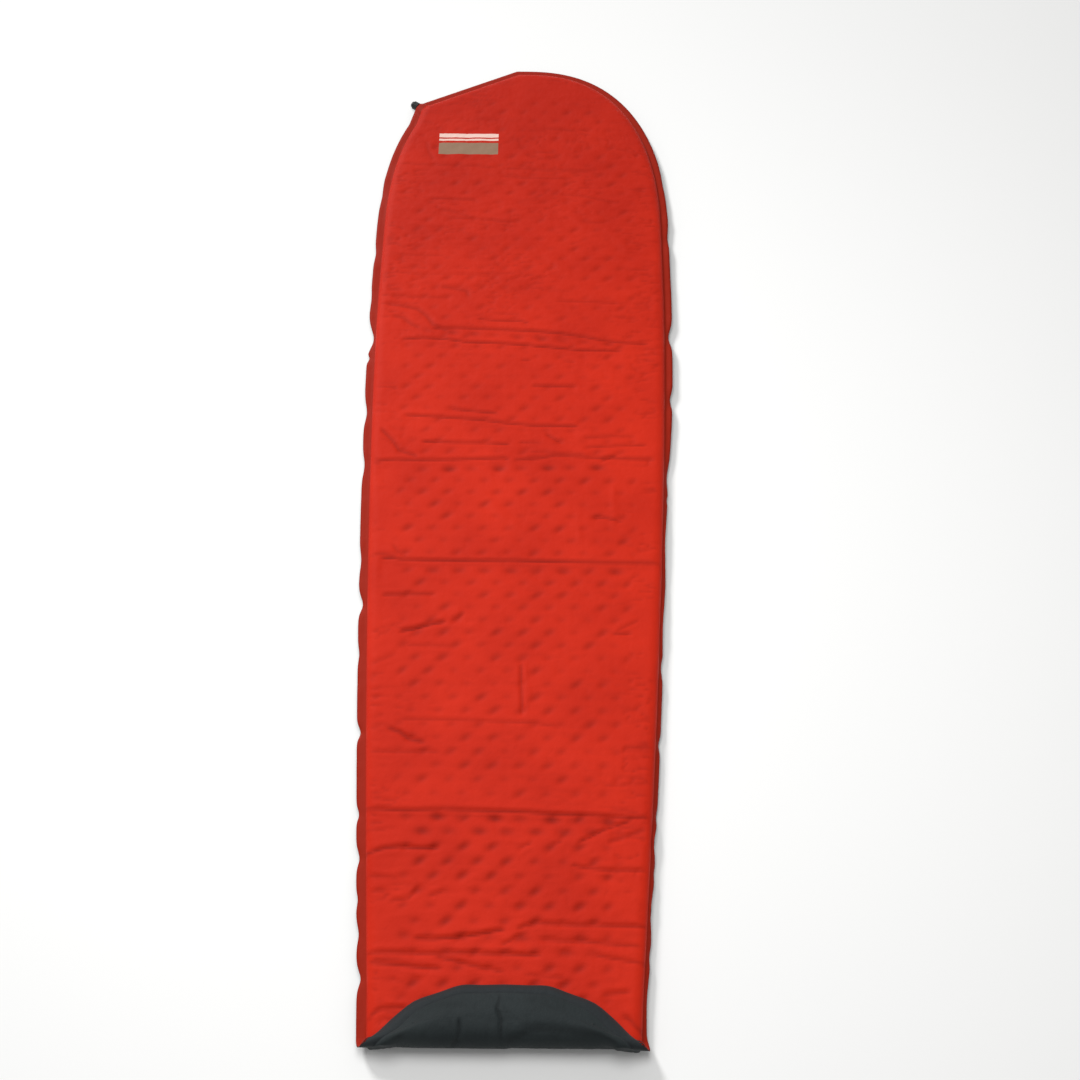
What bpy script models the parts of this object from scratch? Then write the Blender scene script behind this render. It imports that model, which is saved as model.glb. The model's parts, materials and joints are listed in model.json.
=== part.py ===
"""A self-inflating sleeping mat with its foot end folded over, modelled in metres.

The mat lies on its grey side with the head towards +Y. The rounded foot is turned back over
the red side round a fold along X. A twist valve points out of the head's left corner.
The mat is first shaped flat: x across, s along it from the head, z up from the underside.
folded() then lays each point where it is when the foot is turned over.
"""

import math

import bmesh
import bpy
from mathutils import Matrix, Vector

# --- Driving dimensions of the mat ---
FOLDED_LENGTH = 1.757       # from the crown of the head to the nose of the fold
HALF_WIDTH = 0.254          # at the chest, the widest place
THICKNESS = 0.025           # inflated
FOOT_FLAP = 0.053           # depth of the turned-over foot, beyond the fold line
FLANGE = 0.013              # width of the welded band round the edge
FABRIC = 0.0006             # coated polyester
GAP = 0.0003                # kept between touching pieces

# --- Outline of the flat mat ---
HEAD_DEPTH = 0.400          # how far the rounding of the head reaches
HEAD_SQUARENESS = 2.4       # exponent of the head's curve: 2 is an ellipse
FOOT_SQUARENESS = 1.9
CHEST_AT = 0.53             # where the mat is widest, from the head
FOOT_NARROWING = 0.262      # share of the width that is lost towards the foot
TAPER_POWER = 1.5
EDGE_ROUND = 0.0105         # rounding from the face down to the welded band
HEAD_POINTS = 15            # outline points on each side of the head
SIDE_POINTS = 12
FOOT_POINTS = 9
BEND_STEPS = 12             # facets round the fold

# --- Valve corner ---
VALVE_FROM_HEAD = 0.096     # along the mat
VALVE_STANDOFF = 0.0095     # how far its ear stands out of the head's curve
VALVE_TURN = math.radians(145)  # heading of the valve's axis, from +X
EAR_WIDTH = 0.022
EAR_FADE = 0.036            # length over which the ear runs back into the side
SHOULDER_CUT_X = -0.017     # where the straight left shoulder leaves the crown

# --- Valve, along its own axis from the outer edge of the ear ---
SPIGOT_RADIUS = 0.0045
SPIGOT_WALL = 0.0015
SPIGOT_LENGTH = 0.018       # inside the mat
BARB = 0.0006
BASE_WALL = 0.0005          # the weld base's thickness over the spigot
BASE_POINTS = 20            # facets of the base's eye shape
NECK_RADIUS = 0.0052
NECK_WALL = 0.0014
NECK_TOP = 0.0095
CAP_START = 0.0005          # open end of the cap's skirt, when it is screwed down
CAP_WALL = 0.0011           # outside the stem ring
CAP_CLEARANCE = 0.0005      # between the neck's top and the cap's end
CAP_END = 0.0012            # thickness of the cap's end round the lip
CAP_EDGE = 0.0004           # rounding of the cap's rims
LIP_RADIUS = 0.0055
FLUTES = 12
FLUTE_RADIUS = 0.0011
FLUTE_MARGIN = 0.0012       # plain band left above and below the flutes
THREAD_PITCH = 0.004
THREAD_RADIUS = 0.0005
THREAD_START = 0.0034
THREAD_MARGIN = 0.0009      # plain neck above the thread
THREAD_STEPS = 24           # points to a turn
SEAL_AT = 0.0016            # stem ring
SEAL_RADIUS = 0.0006
SEAL_GROOVE = 0.0006
PLUG_SHAFT = 0.0013
PLUG_RISE = 0.0045          # how far the plug stands out of the neck
PLUG_RIM = 0.0007           # thickness of the plug's rim on each side of its ring
PLUG_SEAL_RADIUS = 0.0004
PLUG_GROOVE = 0.0014        # radius left at the bottom of the plug's groove
SPOKES = 3
SPOKE_WIDTH = 0.0011
SPOKE_HEIGHT = 0.0025
SPOKE_DEPTH = 0.0010        # below the neck's top
SPOKE_STAGGER = 0.00001     # keeps the spokes' faces from coinciding

# --- Air cells die-cut through the foam ---
CELL_PITCH_X = 0.0782       # between columns; the next row is half a pitch over
CELL_PITCH_Y = 0.0414
CELL_WIDTH = 0.013
CELL_LENGTH = 0.011
CELL_MARGIN = 0.022         # foam left between a cell and the foam's edge

# --- Worked out from the sizes above ---
FOLD_RADIUS = THICKNESS + GAP / 2
FOLD_AT = FOLDED_LENGTH - FOLD_RADIUS       # fold line, from the head
BEND_LENGTH = math.pi * THICKNESS / 2       # taken up at mid thickness
FLAP_AT = FOLD_AT + BEND_LENGTH
FLAT_LENGTH = FLAP_AT + FOOT_FLAP
HEAD_Y = FOLDED_LENGTH / 2
FOLD_Y = HEAD_Y - FOLD_AT
MIDDLE = THICKNESS / 2
FOAM_EDGE = FLANGE + EDGE_ROUND + FABRIC    # foam edge, in from the mat's edge
FOAM_SKIN = FABRIC + GAP                    # foam face, in from the mat's face
FOAM_HALF = MIDDLE - FOAM_SKIN              # half the foam's own thickness
END_GAP = GAP / 2                           # each panel stops this far from a fold line
BAND_HEIGHT = GAP / 2 + FABRIC              # top of the upper welded band, from mid height
SHOULDER_ROUND = min(EDGE_ROUND, MIDDLE - BAND_HEIGHT - FABRIC)
BASE_LENGTH = FLANGE - GAP
BASE_HEIGHT = 2 * (SPIGOT_RADIUS + BASE_WALL)
SPIGOT_END = -BASE_LENGTH - SPIGOT_LENGTH
SPIGOT_BORE = SPIGOT_RADIUS - SPIGOT_WALL
NECK_BORE = NECK_RADIUS - NECK_WALL
SEAL_SEAT = NECK_RADIUS - SEAL_GROOVE       # bottom of the stem ring's groove
SEAL_ROOM = SEAL_RADIUS + GAP
CAP_BORE = NECK_RADIUS + GAP
CAP_COUNTERBORE = SEAL_SEAT + 2 * SEAL_ROOM
CAP_RADIUS = CAP_COUNTERBORE + CAP_WALL
CAP_ROOF = NECK_TOP + CAP_CLEARANCE
CAP_SHOULDER = CAP_ROOF + CAP_END
THREAD_END = NECK_TOP - THREAD_MARGIN
PLUG_TOP = NECK_TOP + PLUG_RISE
PLUG_SEAL_ROOM = PLUG_SEAL_RADIUS + GAP
PLUG_SEAL_AT = PLUG_TOP - PLUG_RIM - PLUG_SEAL_ROOM
MOUTH_RADIUS = PLUG_GROOVE + 2 * PLUG_SEAL_ROOM
PLUG_RADIUS = MOUTH_RADIUS - 2 * GAP
CAP_TIP = PLUG_TOP + CAP_CLEARANCE

# --- Colours: base colour, roughness, metallic ---
RED = (0.56, 0.035, 0.022)
GREY = (0.033, 0.036, 0.037)
FINISHES = {
    "top_fabric": (RED, 0.75, 0.0),
    "bottom_fabric": (GREY, 0.6, 0.0),
    "foam_core": ((0.78, 0.70, 0.52), 0.9, 0.0),
    "valve_stem": ((0.012, 0.012, 0.013), 0.5, 0.0),
    "valve_cap": ((0.010, 0.010, 0.011), 0.4, 0.0),
    "stem_o_ring": ((0.02, 0.02, 0.02), 0.6, 0.0),
    "plug_o_ring": ((0.02, 0.02, 0.02), 0.6, 0.0),
}


def clear_scene():
    for item in list(bpy.data.objects):
        bpy.data.objects.remove(item, do_unlink=True)


def new_collection(name):
    made = bpy.data.collections.new(name)
    bpy.context.scene.collection.children.link(made)
    return made


def finish_of(name):
    """The Principled material of a piece, named for the piece it is the finish of."""
    family = max((key for key in FINISHES if name.startswith(key)), key=len)
    colour, roughness, metallic = FINISHES[family]
    material = bpy.data.materials.new(name)
    material.use_nodes = True
    shader = material.node_tree.nodes["Principled BSDF"]
    shader.inputs["Base Color"].default_value = (*colour, 1.0)
    shader.inputs["Roughness"].default_value = roughness
    shader.inputs["Metallic"].default_value = metallic
    return material


def add_piece(name, data, smooth=None):
    """A piece of the mat; its origin stays at the mat's own origin until it is placed."""
    piece = bpy.data.objects.new(name, data)
    PARTS.objects.link(piece)
    data.materials.append(finish_of(name))
    if smooth is not None:
        data.shade_smooth()
        data.set_sharp_from_angle(angle=smooth)
    return piece


def add_cutter(name, data):
    tool = bpy.data.objects.new(name, data)
    CUTTERS.objects.link(tool)
    tool.hide_render = True
    tool.display_type = "WIRE"
    return tool


def mesh_from(bm, name):
    mesh = bpy.data.meshes.new(name)
    bm.to_mesh(mesh)
    bm.free()
    return mesh


def combine(piece, tool, operation):
    change = piece.modifiers.new(f"{operation.lower()} {tool.name}", "BOOLEAN")
    change.operation = operation
    change.solver = "EXACT"
    change.object = tool


# --- Outline ---
def half_width(s):
    """Half the flat mat's width, s from the head."""
    along = min(max((s - CHEST_AT) / (FOLD_AT - CHEST_AT), 0.0), 1.0)
    wide = HALF_WIDTH * (1 - FOOT_NARROWING * along**TAPER_POWER)
    if s < HEAD_DEPTH:
        wide *= superellipse((HEAD_DEPTH - s) / HEAD_DEPTH, HEAD_SQUARENESS)
    if s > FOLD_AT:
        wide *= superellipse((s - FOLD_AT) / (FLAT_LENGTH - FOLD_AT), FOOT_SQUARENESS)
    return wide


def superellipse(share, power):
    return max(0.0, 1 - min(share, 1.0) ** power) ** (1 / power)


def side_stations():
    """Distances from the head for the outline's points, closer together where it is round."""
    quarter = math.pi / 2
    head = [HEAD_DEPTH * (1 - math.cos(quarter * i / HEAD_POINTS)) for i in range(1, HEAD_POINTS)]
    run = FOLD_AT - HEAD_DEPTH
    side = [HEAD_DEPTH + run * i / SIDE_POINTS for i in range(SIDE_POINTS + 1)]
    foot = FLAT_LENGTH - FOLD_AT
    tail = [FOLD_AT + foot * math.sin(quarter * i / FOOT_POINTS) for i in range(1, FOOT_POINTS)]
    return head + side + tail


def valve_ear():
    """The ear's two outer corners (x, s), the lower one first, and the middle between them."""
    middle = Vector((-half_width(VALVE_FROM_HEAD) - VALVE_STANDOFF, VALVE_FROM_HEAD))
    across = Vector((math.sin(VALVE_TURN), math.cos(VALVE_TURN))) * EAR_WIDTH / 2
    return middle - across, middle + across, middle


def outline():
    """Points (x, s) of the flat mat: down the left from the crown, round the foot, up the right."""
    right = [(half_width(s), s) for s in side_stations()]
    low_corner, top_corner, _ = valve_ear()
    left = [(-x, s) for x, s in right if s > low_corner.y + EAR_FADE]
    shoulder = [(SHOULDER_CUT_X, 0.0), tuple(top_corner), tuple(low_corner)]
    return shoulder + left + [(0.0, FLAT_LENGTH)] + right[::-1]


def flat_face():
    """A bmesh with the flat mat's outline as one face that looks up, at z = 0."""
    bm = bmesh.new()
    face = bm.faces.new([bm.verts.new((x, -s, 0.0)) for x, s in outline()])
    face.normal_update()
    if face.normal.z < 0:
        face.normal_flip()
    return bm, face


def new_verts(raised):
    return [item for item in raised["geom"] if isinstance(item, bmesh.types.BMVert)]


def trim(bm, start, end):
    """Keeps what lies between two stations of the flat mat, and closes the cuts."""
    for station, towards_head in ((start, 1.0), (end, -1.0)):
        if station is None:
            continue
        everything = bm.verts[:] + bm.edges[:] + bm.faces[:]
        cut = bmesh.ops.bisect_plane(
            bm, geom=everything, plane_co=(0, -station, 0), plane_no=(0, towards_head, 0),
            clear_outer=True)["geom_cut"]
        edges = [item for item in cut if isinstance(item, bmesh.types.BMEdge)]
        bmesh.ops.edgeloop_fill(bm, edges=edges)


def folded(point):
    """Where a point of the flat mat (x, -s, z) is when the foot is turned over."""
    x, s, z = point.x, -point.y, point.z
    if s <= FOLD_AT:
        return Vector((x, HEAD_Y - s, z))
    turn = min((s - FOLD_AT) / BEND_LENGTH, 1.0) * math.pi
    beyond = max(s - FLAP_AT, 0.0)
    reach = FOLD_RADIUS - z
    return Vector((x, FOLD_Y - reach * math.sin(turn) + beyond, FOLD_RADIUS - reach * math.cos(turn)))


def fold(bm):
    for vert in bm.verts:
        vert.co = folded(vert.co)


def panels():
    """The three stretches of the mat: (name ending, first station, last station)."""
    return (
        ("", None, FOLD_AT - END_GAP),
        ("_bend", FOLD_AT + END_GAP, FLAP_AT - END_GAP),
        ("_foot", FLAP_AT + END_GAP, None),
    )


def cut_bend_facets(bm):
    for step in range(1, BEND_STEPS):
        station = FOLD_AT + BEND_LENGTH * step / BEND_STEPS
        everything = bm.verts[:] + bm.edges[:] + bm.faces[:]
        bmesh.ops.bisect_plane(bm, geom=everything, plane_co=(0, -station, 0), plane_no=(0, 1, 0))


def add_panels(name, flat_solid, smooth=None):
    """Cuts a flat layer into its three stretches and lays each where the fold puts it."""
    for ending, start, end in panels():
        bm = flat_solid()
        trim(bm, start, end)
        if ending == "_bend":
            cut_bend_facets(bm)
        fold(bm)
        bm.normal_update()
        bmesh.ops.recalc_face_normals(bm, faces=bm.faces[:])
        add_piece(name + ending, mesh_from(bm, name + ending), smooth)
    return bpy.data.objects[name]


# --- Fabrics ---
def fabric_shell(upper):
    """One side of the casing laid flat: welded band at mid height, rounded edge, then the face."""
    bm, face = flat_face()
    bmesh.ops.inset_region(
        bm, faces=[face], thickness=FLANGE, use_even_offset=True, use_boundary=True)
    raised = bmesh.ops.extrude_face_region(bm, geom=[face])
    if face.is_valid:
        bmesh.ops.delete(bm, geom=[face], context="FACES_ONLY")
    bmesh.ops.translate(bm, verts=new_verts(raised), vec=(0, 0, MIDDLE - BAND_HEIGHT))
    shoulder = [item for item in raised["geom"] if isinstance(item, bmesh.types.BMEdge)]
    bmesh.ops.bevel(
        bm, geom=shoulder, offset=SHOULDER_ROUND, segments=3, profile=0.5, affect="EDGES",
        material=-1)
    bmesh.ops.translate(bm, verts=bm.verts[:], vec=(0, 0, MIDDLE + BAND_HEIGHT))
    bmesh.ops.solidify(bm, geom=bm.faces[:], thickness=FABRIC)
    if not upper:
        turn_over = Matrix.Translation((0, 0, THICKNESS)) @ Matrix.Scale(-1, 4, (0, 0, 1))
        bmesh.ops.transform(bm, matrix=turn_over, verts=bm.verts[:])
        bmesh.ops.reverse_faces(bm, faces=bm.faces[:])
    return bm


def make_fabric(name, upper):
    sheet = add_panels(name, lambda: fabric_shell(upper), smooth=math.radians(40))
    combine(sheet, bpy.data.objects["valve_clearance"], "DIFFERENCE")


# --- Foam ---
def cell_cutter():
    """Diamond prisms in staggered rows, kept clear of the foam's edge."""
    bm = bmesh.new()
    reach = FOAM_EDGE + CELL_MARGIN
    rows = int(FLAT_LENGTH / CELL_PITCH_Y)
    columns = int(HALF_WIDTH / CELL_PITCH_X) + 1
    for row in range(1, rows):
        s = CELL_PITCH_Y * row
        shift = CELL_PITCH_X / 2 if row % 2 else 0.0
        for column in range(-columns, columns + 1):
            x = CELL_PITCH_X * column + shift
            if not cell_fits(x, s, reach):
                continue
            place = (
                Matrix.Translation((x, HEAD_Y - s, MIDDLE))
                @ Matrix.Diagonal((CELL_WIDTH / 2, CELL_LENGTH / 2, 1, 1))
            )
            bmesh.ops.create_cone(
                bm, segments=4, radius1=1, radius2=1, depth=2 * THICKNESS, cap_ends=True,
                matrix=place)
    return add_cutter("air_cells", mesh_from(bm, "air_cells"))


def cell_fits(x, s, reach):
    clear_of_head = s > reach and half_width(s - reach / 2) - abs(x) > reach
    clear_of_valve = (Vector((x, s)) - valve_ear()[2]).length > 2 * EAR_WIDTH + SPIGOT_LENGTH
    clear_of_fold = s < FOLD_AT - CELL_MARGIN
    return clear_of_head and clear_of_valve and clear_of_fold


def foam_slab():
    """The foam laid flat, drawn in from the mat's edge."""
    bm, face = flat_face()
    rim = bmesh.ops.inset_region(
        bm, faces=[face], thickness=FOAM_EDGE, use_even_offset=True, use_boundary=True)
    bmesh.ops.delete(bm, geom=rim["faces"], context="FACES")
    bmesh.ops.translate(bm, verts=bm.verts[:], vec=(0, 0, MIDDLE - FOAM_HALF))
    raised = bmesh.ops.extrude_face_region(bm, geom=bm.faces[:], use_keep_orig=True)
    bmesh.ops.translate(bm, verts=new_verts(raised), vec=(0, 0, 2 * FOAM_HALF))
    return bm


def make_foam():
    core = add_panels("foam_core", foam_slab)
    combine(core, bpy.data.objects["foam_pocket"], "DIFFERENCE")
    combine(core, cell_cutter(), "DIFFERENCE")


# --- Valve ---
def valve_place():
    """Turns the valve's own axis, local +Z, outwards from the middle of the ear's edge."""
    middle = valve_ear()[2]
    lies = Matrix.Rotation(math.pi / 2, 4, "Y")
    heads = Matrix.Rotation(VALVE_TURN, 4, "Z")
    return Matrix.Translation((middle.x, HEAD_Y - middle.y, MIDDLE)) @ heads @ lies


def profile_mesh(name, profile, closed):
    """A profile of (radius, height) points, run down its outer side, to be turned about Z."""
    mesh = bpy.data.meshes.new(name)
    count = len(profile)
    edges = [(i, (i + 1) % count) for i in range(count if closed else count - 1)]
    mesh.from_pydata([(radius, 0.0, height) for radius, height in profile], edges, [])
    return mesh


def screw(item, segments):
    lathe = item.modifiers.new("turning", "SCREW")
    lathe.axis = "Z"
    lathe.steps = lathe.render_steps = segments
    lathe.use_merge_vertices = True
    lathe.merge_threshold = 0.00001
    lathe.use_smooth_shade = True


def cylinder(name, radius, bottom, top, segments=32):
    bm = bmesh.new()
    bmesh.ops.create_cone(
        bm, segments=segments, radius1=radius, radius2=radius, depth=top - bottom, cap_ends=True,
        matrix=Matrix.Translation((0, 0, (bottom + top) / 2)))
    return mesh_from(bm, name)


def valve_tool(name, mesh):
    tool = add_cutter(name, mesh)
    tool.matrix_world = valve_place()
    return tool


def helix_mesh(name, radius, start, end):
    """A round cord along the thread's helix, as a closed mesh; height 0 lies at angle 0."""
    curve = bpy.data.curves.new(name, "CURVE")
    curve.dimensions = "3D"
    curve.bevel_depth = radius
    curve.bevel_resolution = 1
    curve.use_fill_caps = True
    spline = curve.splines.new("POLY")
    steps = round((end - start) / THREAD_PITCH * THREAD_STEPS)
    spline.points.add(steps)
    first = round(start / THREAD_PITCH * THREAD_STEPS)
    for i, point in enumerate(spline.points):
        turn = (first + i) / THREAD_STEPS
        angle = turn * 2 * math.pi
        point.co = (NECK_RADIUS * math.cos(angle), NECK_RADIUS * math.sin(angle),
                    THREAD_PITCH * turn, 1.0)
    holder = bpy.data.objects.new(name, curve)
    CUTTERS.objects.link(holder)
    graph = bpy.context.evaluated_depsgraph_get()
    mesh = bpy.data.meshes.new_from_object(holder.evaluated_get(graph))
    bpy.data.objects.remove(holder)
    bm = bmesh.new()
    bm.from_mesh(mesh)
    bmesh.ops.remove_doubles(bm, verts=bm.verts[:], dist=0.000001)
    bmesh.ops.recalc_face_normals(bm, faces=bm.faces[:])
    bpy.data.meshes.remove(mesh)
    return mesh_from(bm, name)


def base_mesh(name, grow):
    """The eye-shaped block that is welded between the two fabrics, grown by a clearance."""
    bm = bmesh.new()
    half_long, half_high = EAR_WIDTH / 2 + grow, BASE_HEIGHT / 2 + grow
    rim = []
    for i in range(BASE_POINTS):
        angle = 2 * math.pi * i / BASE_POINTS
        up = math.copysign(math.sin(angle) ** 2, math.sin(angle)) * half_high
        rim.append(bm.verts.new((up, math.cos(angle) * half_long, -BASE_LENGTH - grow)))
    face = bm.faces.new(rim)
    raised = bmesh.ops.extrude_face_region(bm, geom=[face], use_keep_orig=True)
    bmesh.ops.translate(bm, verts=new_verts(raised), vec=(0, 0, BASE_LENGTH - GAP + 2 * grow))
    bmesh.ops.recalc_face_normals(bm, faces=bm.faces[:])
    return mesh_from(bm, name)


def make_valve_clearances():
    """Cutters that open the fabrics and the foam for the valve."""
    opening = valve_tool("valve_clearance", base_mesh("valve_clearance", GAP))
    sleeve = valve_tool("spigot_clearance", cylinder(
        "spigot_clearance", SPIGOT_RADIUS + BARB + GAP, SPIGOT_END - GAP, 0.0))
    combine(opening, sleeve, "UNION")
    pocket_end = SPIGOT_END - EAR_WIDTH / 2
    valve_tool("foam_pocket", cylinder("foam_pocket", EAR_WIDTH / 2, pocket_end, 0.0))


def make_stem():
    barb_step = SPIGOT_LENGTH / 3
    profile = [
        (NECK_RADIUS, NECK_TOP), (NECK_RADIUS, SEAL_AT + SEAL_ROOM), (SEAL_SEAT, SEAL_AT + SEAL_ROOM),
        (SEAL_SEAT, SEAL_AT - SEAL_ROOM), (NECK_RADIUS, SEAL_AT - SEAL_ROOM), (NECK_RADIUS, -GAP),
        (SPIGOT_RADIUS, -GAP), (SPIGOT_RADIUS, SPIGOT_END + 2 * barb_step),
        (SPIGOT_RADIUS + BARB, SPIGOT_END + 2 * barb_step), (SPIGOT_RADIUS, SPIGOT_END + barb_step),
        (SPIGOT_RADIUS + BARB, SPIGOT_END + barb_step), (SPIGOT_RADIUS, SPIGOT_END),
        (SPIGOT_BORE, SPIGOT_END), (SPIGOT_BORE, 0.0), (NECK_BORE, GAP), (NECK_BORE, NECK_TOP),
    ]
    stem = add_piece("valve_stem", profile_mesh("valve_stem", profile, closed=True))
    stem.matrix_world = valve_place()
    screw(stem, 36)
    base = valve_tool("weld_base", base_mesh("weld_base", 0.0))
    bore = valve_tool("weld_base_bore", cylinder(
        "weld_base_bore", (SPIGOT_BORE + SPIGOT_RADIUS) / 2, SPIGOT_END, 2 * GAP))
    combine(base, bore, "DIFFERENCE")
    combine(stem, base, "UNION")
    ridge = helix_mesh("thread_ridge", THREAD_RADIUS, THREAD_START, THREAD_END)
    combine(stem, valve_tool("thread_ridge", ridge), "UNION")
    combine(stem, make_plug(), "UNION")


def make_plug():
    """The closing plug on its shaft, held in the neck by spokes."""
    spokes_top = NECK_TOP - SPOKE_DEPTH
    spokes_bottom = spokes_top - SPOKE_HEIGHT
    groove_top, groove_bottom = PLUG_SEAL_AT + PLUG_SEAL_ROOM, PLUG_SEAL_AT - PLUG_SEAL_ROOM
    rim_bottom = groove_bottom - PLUG_RIM
    profile = [
        (0.0, PLUG_TOP), (PLUG_RADIUS, PLUG_TOP), (PLUG_RADIUS, groove_top),
        (PLUG_GROOVE, groove_top), (PLUG_GROOVE, groove_bottom), (PLUG_RADIUS, groove_bottom),
        (PLUG_RADIUS, rim_bottom), (PLUG_SHAFT, rim_bottom), (PLUG_SHAFT, spokes_bottom),
        (0.0, spokes_bottom),
    ]
    plug = valve_tool("plug", profile_mesh("plug", profile, closed=False))
    screw(plug, 24)
    length = (NECK_BORE + NECK_RADIUS) / 2
    for i in range(SPOKES):
        middle = (spokes_top + spokes_bottom) / 2 + i * SPOKE_STAGGER
        size = Matrix.Diagonal((length, SPOKE_WIDTH, SPOKE_HEIGHT, 1))
        out = Matrix.Translation((length / 2, 0, middle))
        turn = Matrix.Rotation(2 * math.pi * (i + 0.05) / SPOKES, 4, "Z")
        bm = bmesh.new()
        bmesh.ops.create_cube(bm, size=1.0, matrix=turn @ out @ size)
        combine(plug, valve_tool(f"spoke_{i}", mesh_from(bm, f"spoke_{i}")), "UNION")
    return plug


def make_cap():
    seal_top = SEAL_AT + SEAL_ROOM
    profile = [
        (LIP_RADIUS - CAP_EDGE, CAP_TIP), (LIP_RADIUS, CAP_TIP - CAP_EDGE),
        (LIP_RADIUS + CAP_EDGE, CAP_SHOULDER), (CAP_RADIUS - CAP_EDGE, CAP_SHOULDER - GAP),
        (CAP_RADIUS, CAP_SHOULDER - GAP - CAP_EDGE), (CAP_RADIUS, CAP_START + CAP_EDGE),
        (CAP_RADIUS - CAP_EDGE, CAP_START), (CAP_COUNTERBORE, CAP_START),
        (CAP_COUNTERBORE, seal_top), (CAP_BORE, seal_top + GAP), (CAP_BORE, CAP_ROOF),
        (MOUTH_RADIUS, CAP_ROOF), (MOUTH_RADIUS, CAP_TIP - GAP), (MOUTH_RADIUS + GAP, CAP_TIP),
    ]
    cap = add_piece("valve_cap", profile_mesh("valve_cap", profile, closed=True))
    cap.matrix_world = valve_place()
    screw(cap, 48)
    groove = helix_mesh(
        "thread_groove", THREAD_RADIUS + GAP, -THREAD_PITCH / 2, CAP_ROOF - CAP_END)
    combine(cap, valve_tool("thread_groove", groove), "DIFFERENCE")
    bm = bmesh.new()
    flute_length = CAP_SHOULDER - CAP_START - 2 * FLUTE_MARGIN
    for i in range(FLUTES):
        turn = Matrix.Rotation(2 * math.pi * (i + 0.5) / FLUTES, 4, "Z")
        out = Matrix.Translation((CAP_RADIUS + FLUTE_RADIUS / 2, 0, (CAP_SHOULDER + CAP_START) / 2))
        bmesh.ops.create_cone(
            bm, segments=12, radius1=FLUTE_RADIUS, radius2=FLUTE_RADIUS, depth=flute_length,
            cap_ends=True, matrix=turn @ out)
    combine(cap, valve_tool("grip_flutes", mesh_from(bm, "grip_flutes")), "DIFFERENCE")


def make_ring(name, inner_radius, cord_radius, height):
    bpy.ops.mesh.primitive_torus_add(
        major_radius=inner_radius + cord_radius, minor_radius=cord_radius,
        major_segments=36, minor_segments=10)
    made = bpy.context.object
    mesh = made.data
    bpy.data.objects.remove(made)
    mesh.name = name
    mesh.transform(Matrix.Translation((0, 0, height)))
    ring = add_piece(name, mesh, smooth=math.pi)
    ring.matrix_world = valve_place()


# --- Assembly ---
def hang_foot_on_fold():
    """The turned-over foot swings about an empty that lies on the fold's axis."""
    axis = bpy.data.objects.new("foot_fold_axis", None)
    axis.location = (0, FOLD_Y, FOLD_RADIUS)
    PARTS.objects.link(axis)
    bpy.context.view_layer.update()
    for piece in list(PARTS.objects):
        if piece.name.endswith("_foot"):
            piece.parent = axis
            piece.matrix_parent_inverse = axis.matrix_world.inverted()


clear_scene()
PARTS = new_collection("sleeping_mat")
CUTTERS = new_collection("cutters")
make_valve_clearances()
make_fabric("top_fabric", upper=True)
make_fabric("bottom_fabric", upper=False)
make_foam()
make_stem()
make_cap()
make_ring("stem_o_ring", SEAL_SEAT + GAP, SEAL_RADIUS, SEAL_AT)
make_ring("plug_o_ring", PLUG_GROOVE + GAP, PLUG_SEAL_RADIUS, PLUG_SEAL_AT)
hang_foot_on_fold()
bpy.context.view_layer.update()
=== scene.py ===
"""Looks of a self-inflating sleeping mat that lies with its rounded foot end turned back.

Both fabrics are first shaped flat: x across the mat, s along it from the head, z up from the
underside. laid_out() then turns the foot over, as it lies. Metres throughout, except in the
tables of creases, cells and tucks, which are in millimetres.
"""

import functools
import json
import math

import bmesh
import bpy
import numpy as np
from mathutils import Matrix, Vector, kdtree, noise


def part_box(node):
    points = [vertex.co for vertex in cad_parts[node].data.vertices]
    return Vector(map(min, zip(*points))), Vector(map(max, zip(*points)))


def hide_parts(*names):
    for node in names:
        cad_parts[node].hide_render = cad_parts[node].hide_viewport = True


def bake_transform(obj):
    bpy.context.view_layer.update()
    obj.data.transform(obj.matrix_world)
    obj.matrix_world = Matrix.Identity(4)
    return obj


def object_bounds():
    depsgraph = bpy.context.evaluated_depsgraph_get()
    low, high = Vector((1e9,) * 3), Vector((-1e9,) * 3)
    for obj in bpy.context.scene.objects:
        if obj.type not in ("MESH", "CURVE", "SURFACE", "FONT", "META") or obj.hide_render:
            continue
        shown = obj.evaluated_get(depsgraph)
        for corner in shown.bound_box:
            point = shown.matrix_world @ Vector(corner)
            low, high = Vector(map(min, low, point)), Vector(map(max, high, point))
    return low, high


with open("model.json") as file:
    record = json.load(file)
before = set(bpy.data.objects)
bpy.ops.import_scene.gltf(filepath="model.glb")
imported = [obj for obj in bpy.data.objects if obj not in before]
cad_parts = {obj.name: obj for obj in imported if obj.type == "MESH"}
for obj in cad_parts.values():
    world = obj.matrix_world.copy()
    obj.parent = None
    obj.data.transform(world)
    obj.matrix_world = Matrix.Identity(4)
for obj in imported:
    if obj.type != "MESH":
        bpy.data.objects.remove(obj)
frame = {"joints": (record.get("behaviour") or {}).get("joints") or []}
cad_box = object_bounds()

MM = 0.001
JOINTS = {joint["name"]: joint for joint in frame["joints"]}
FOLD_Y, FOLD_Z = JOINTS["foot_fold"]["pos_m"][1:]

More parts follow.
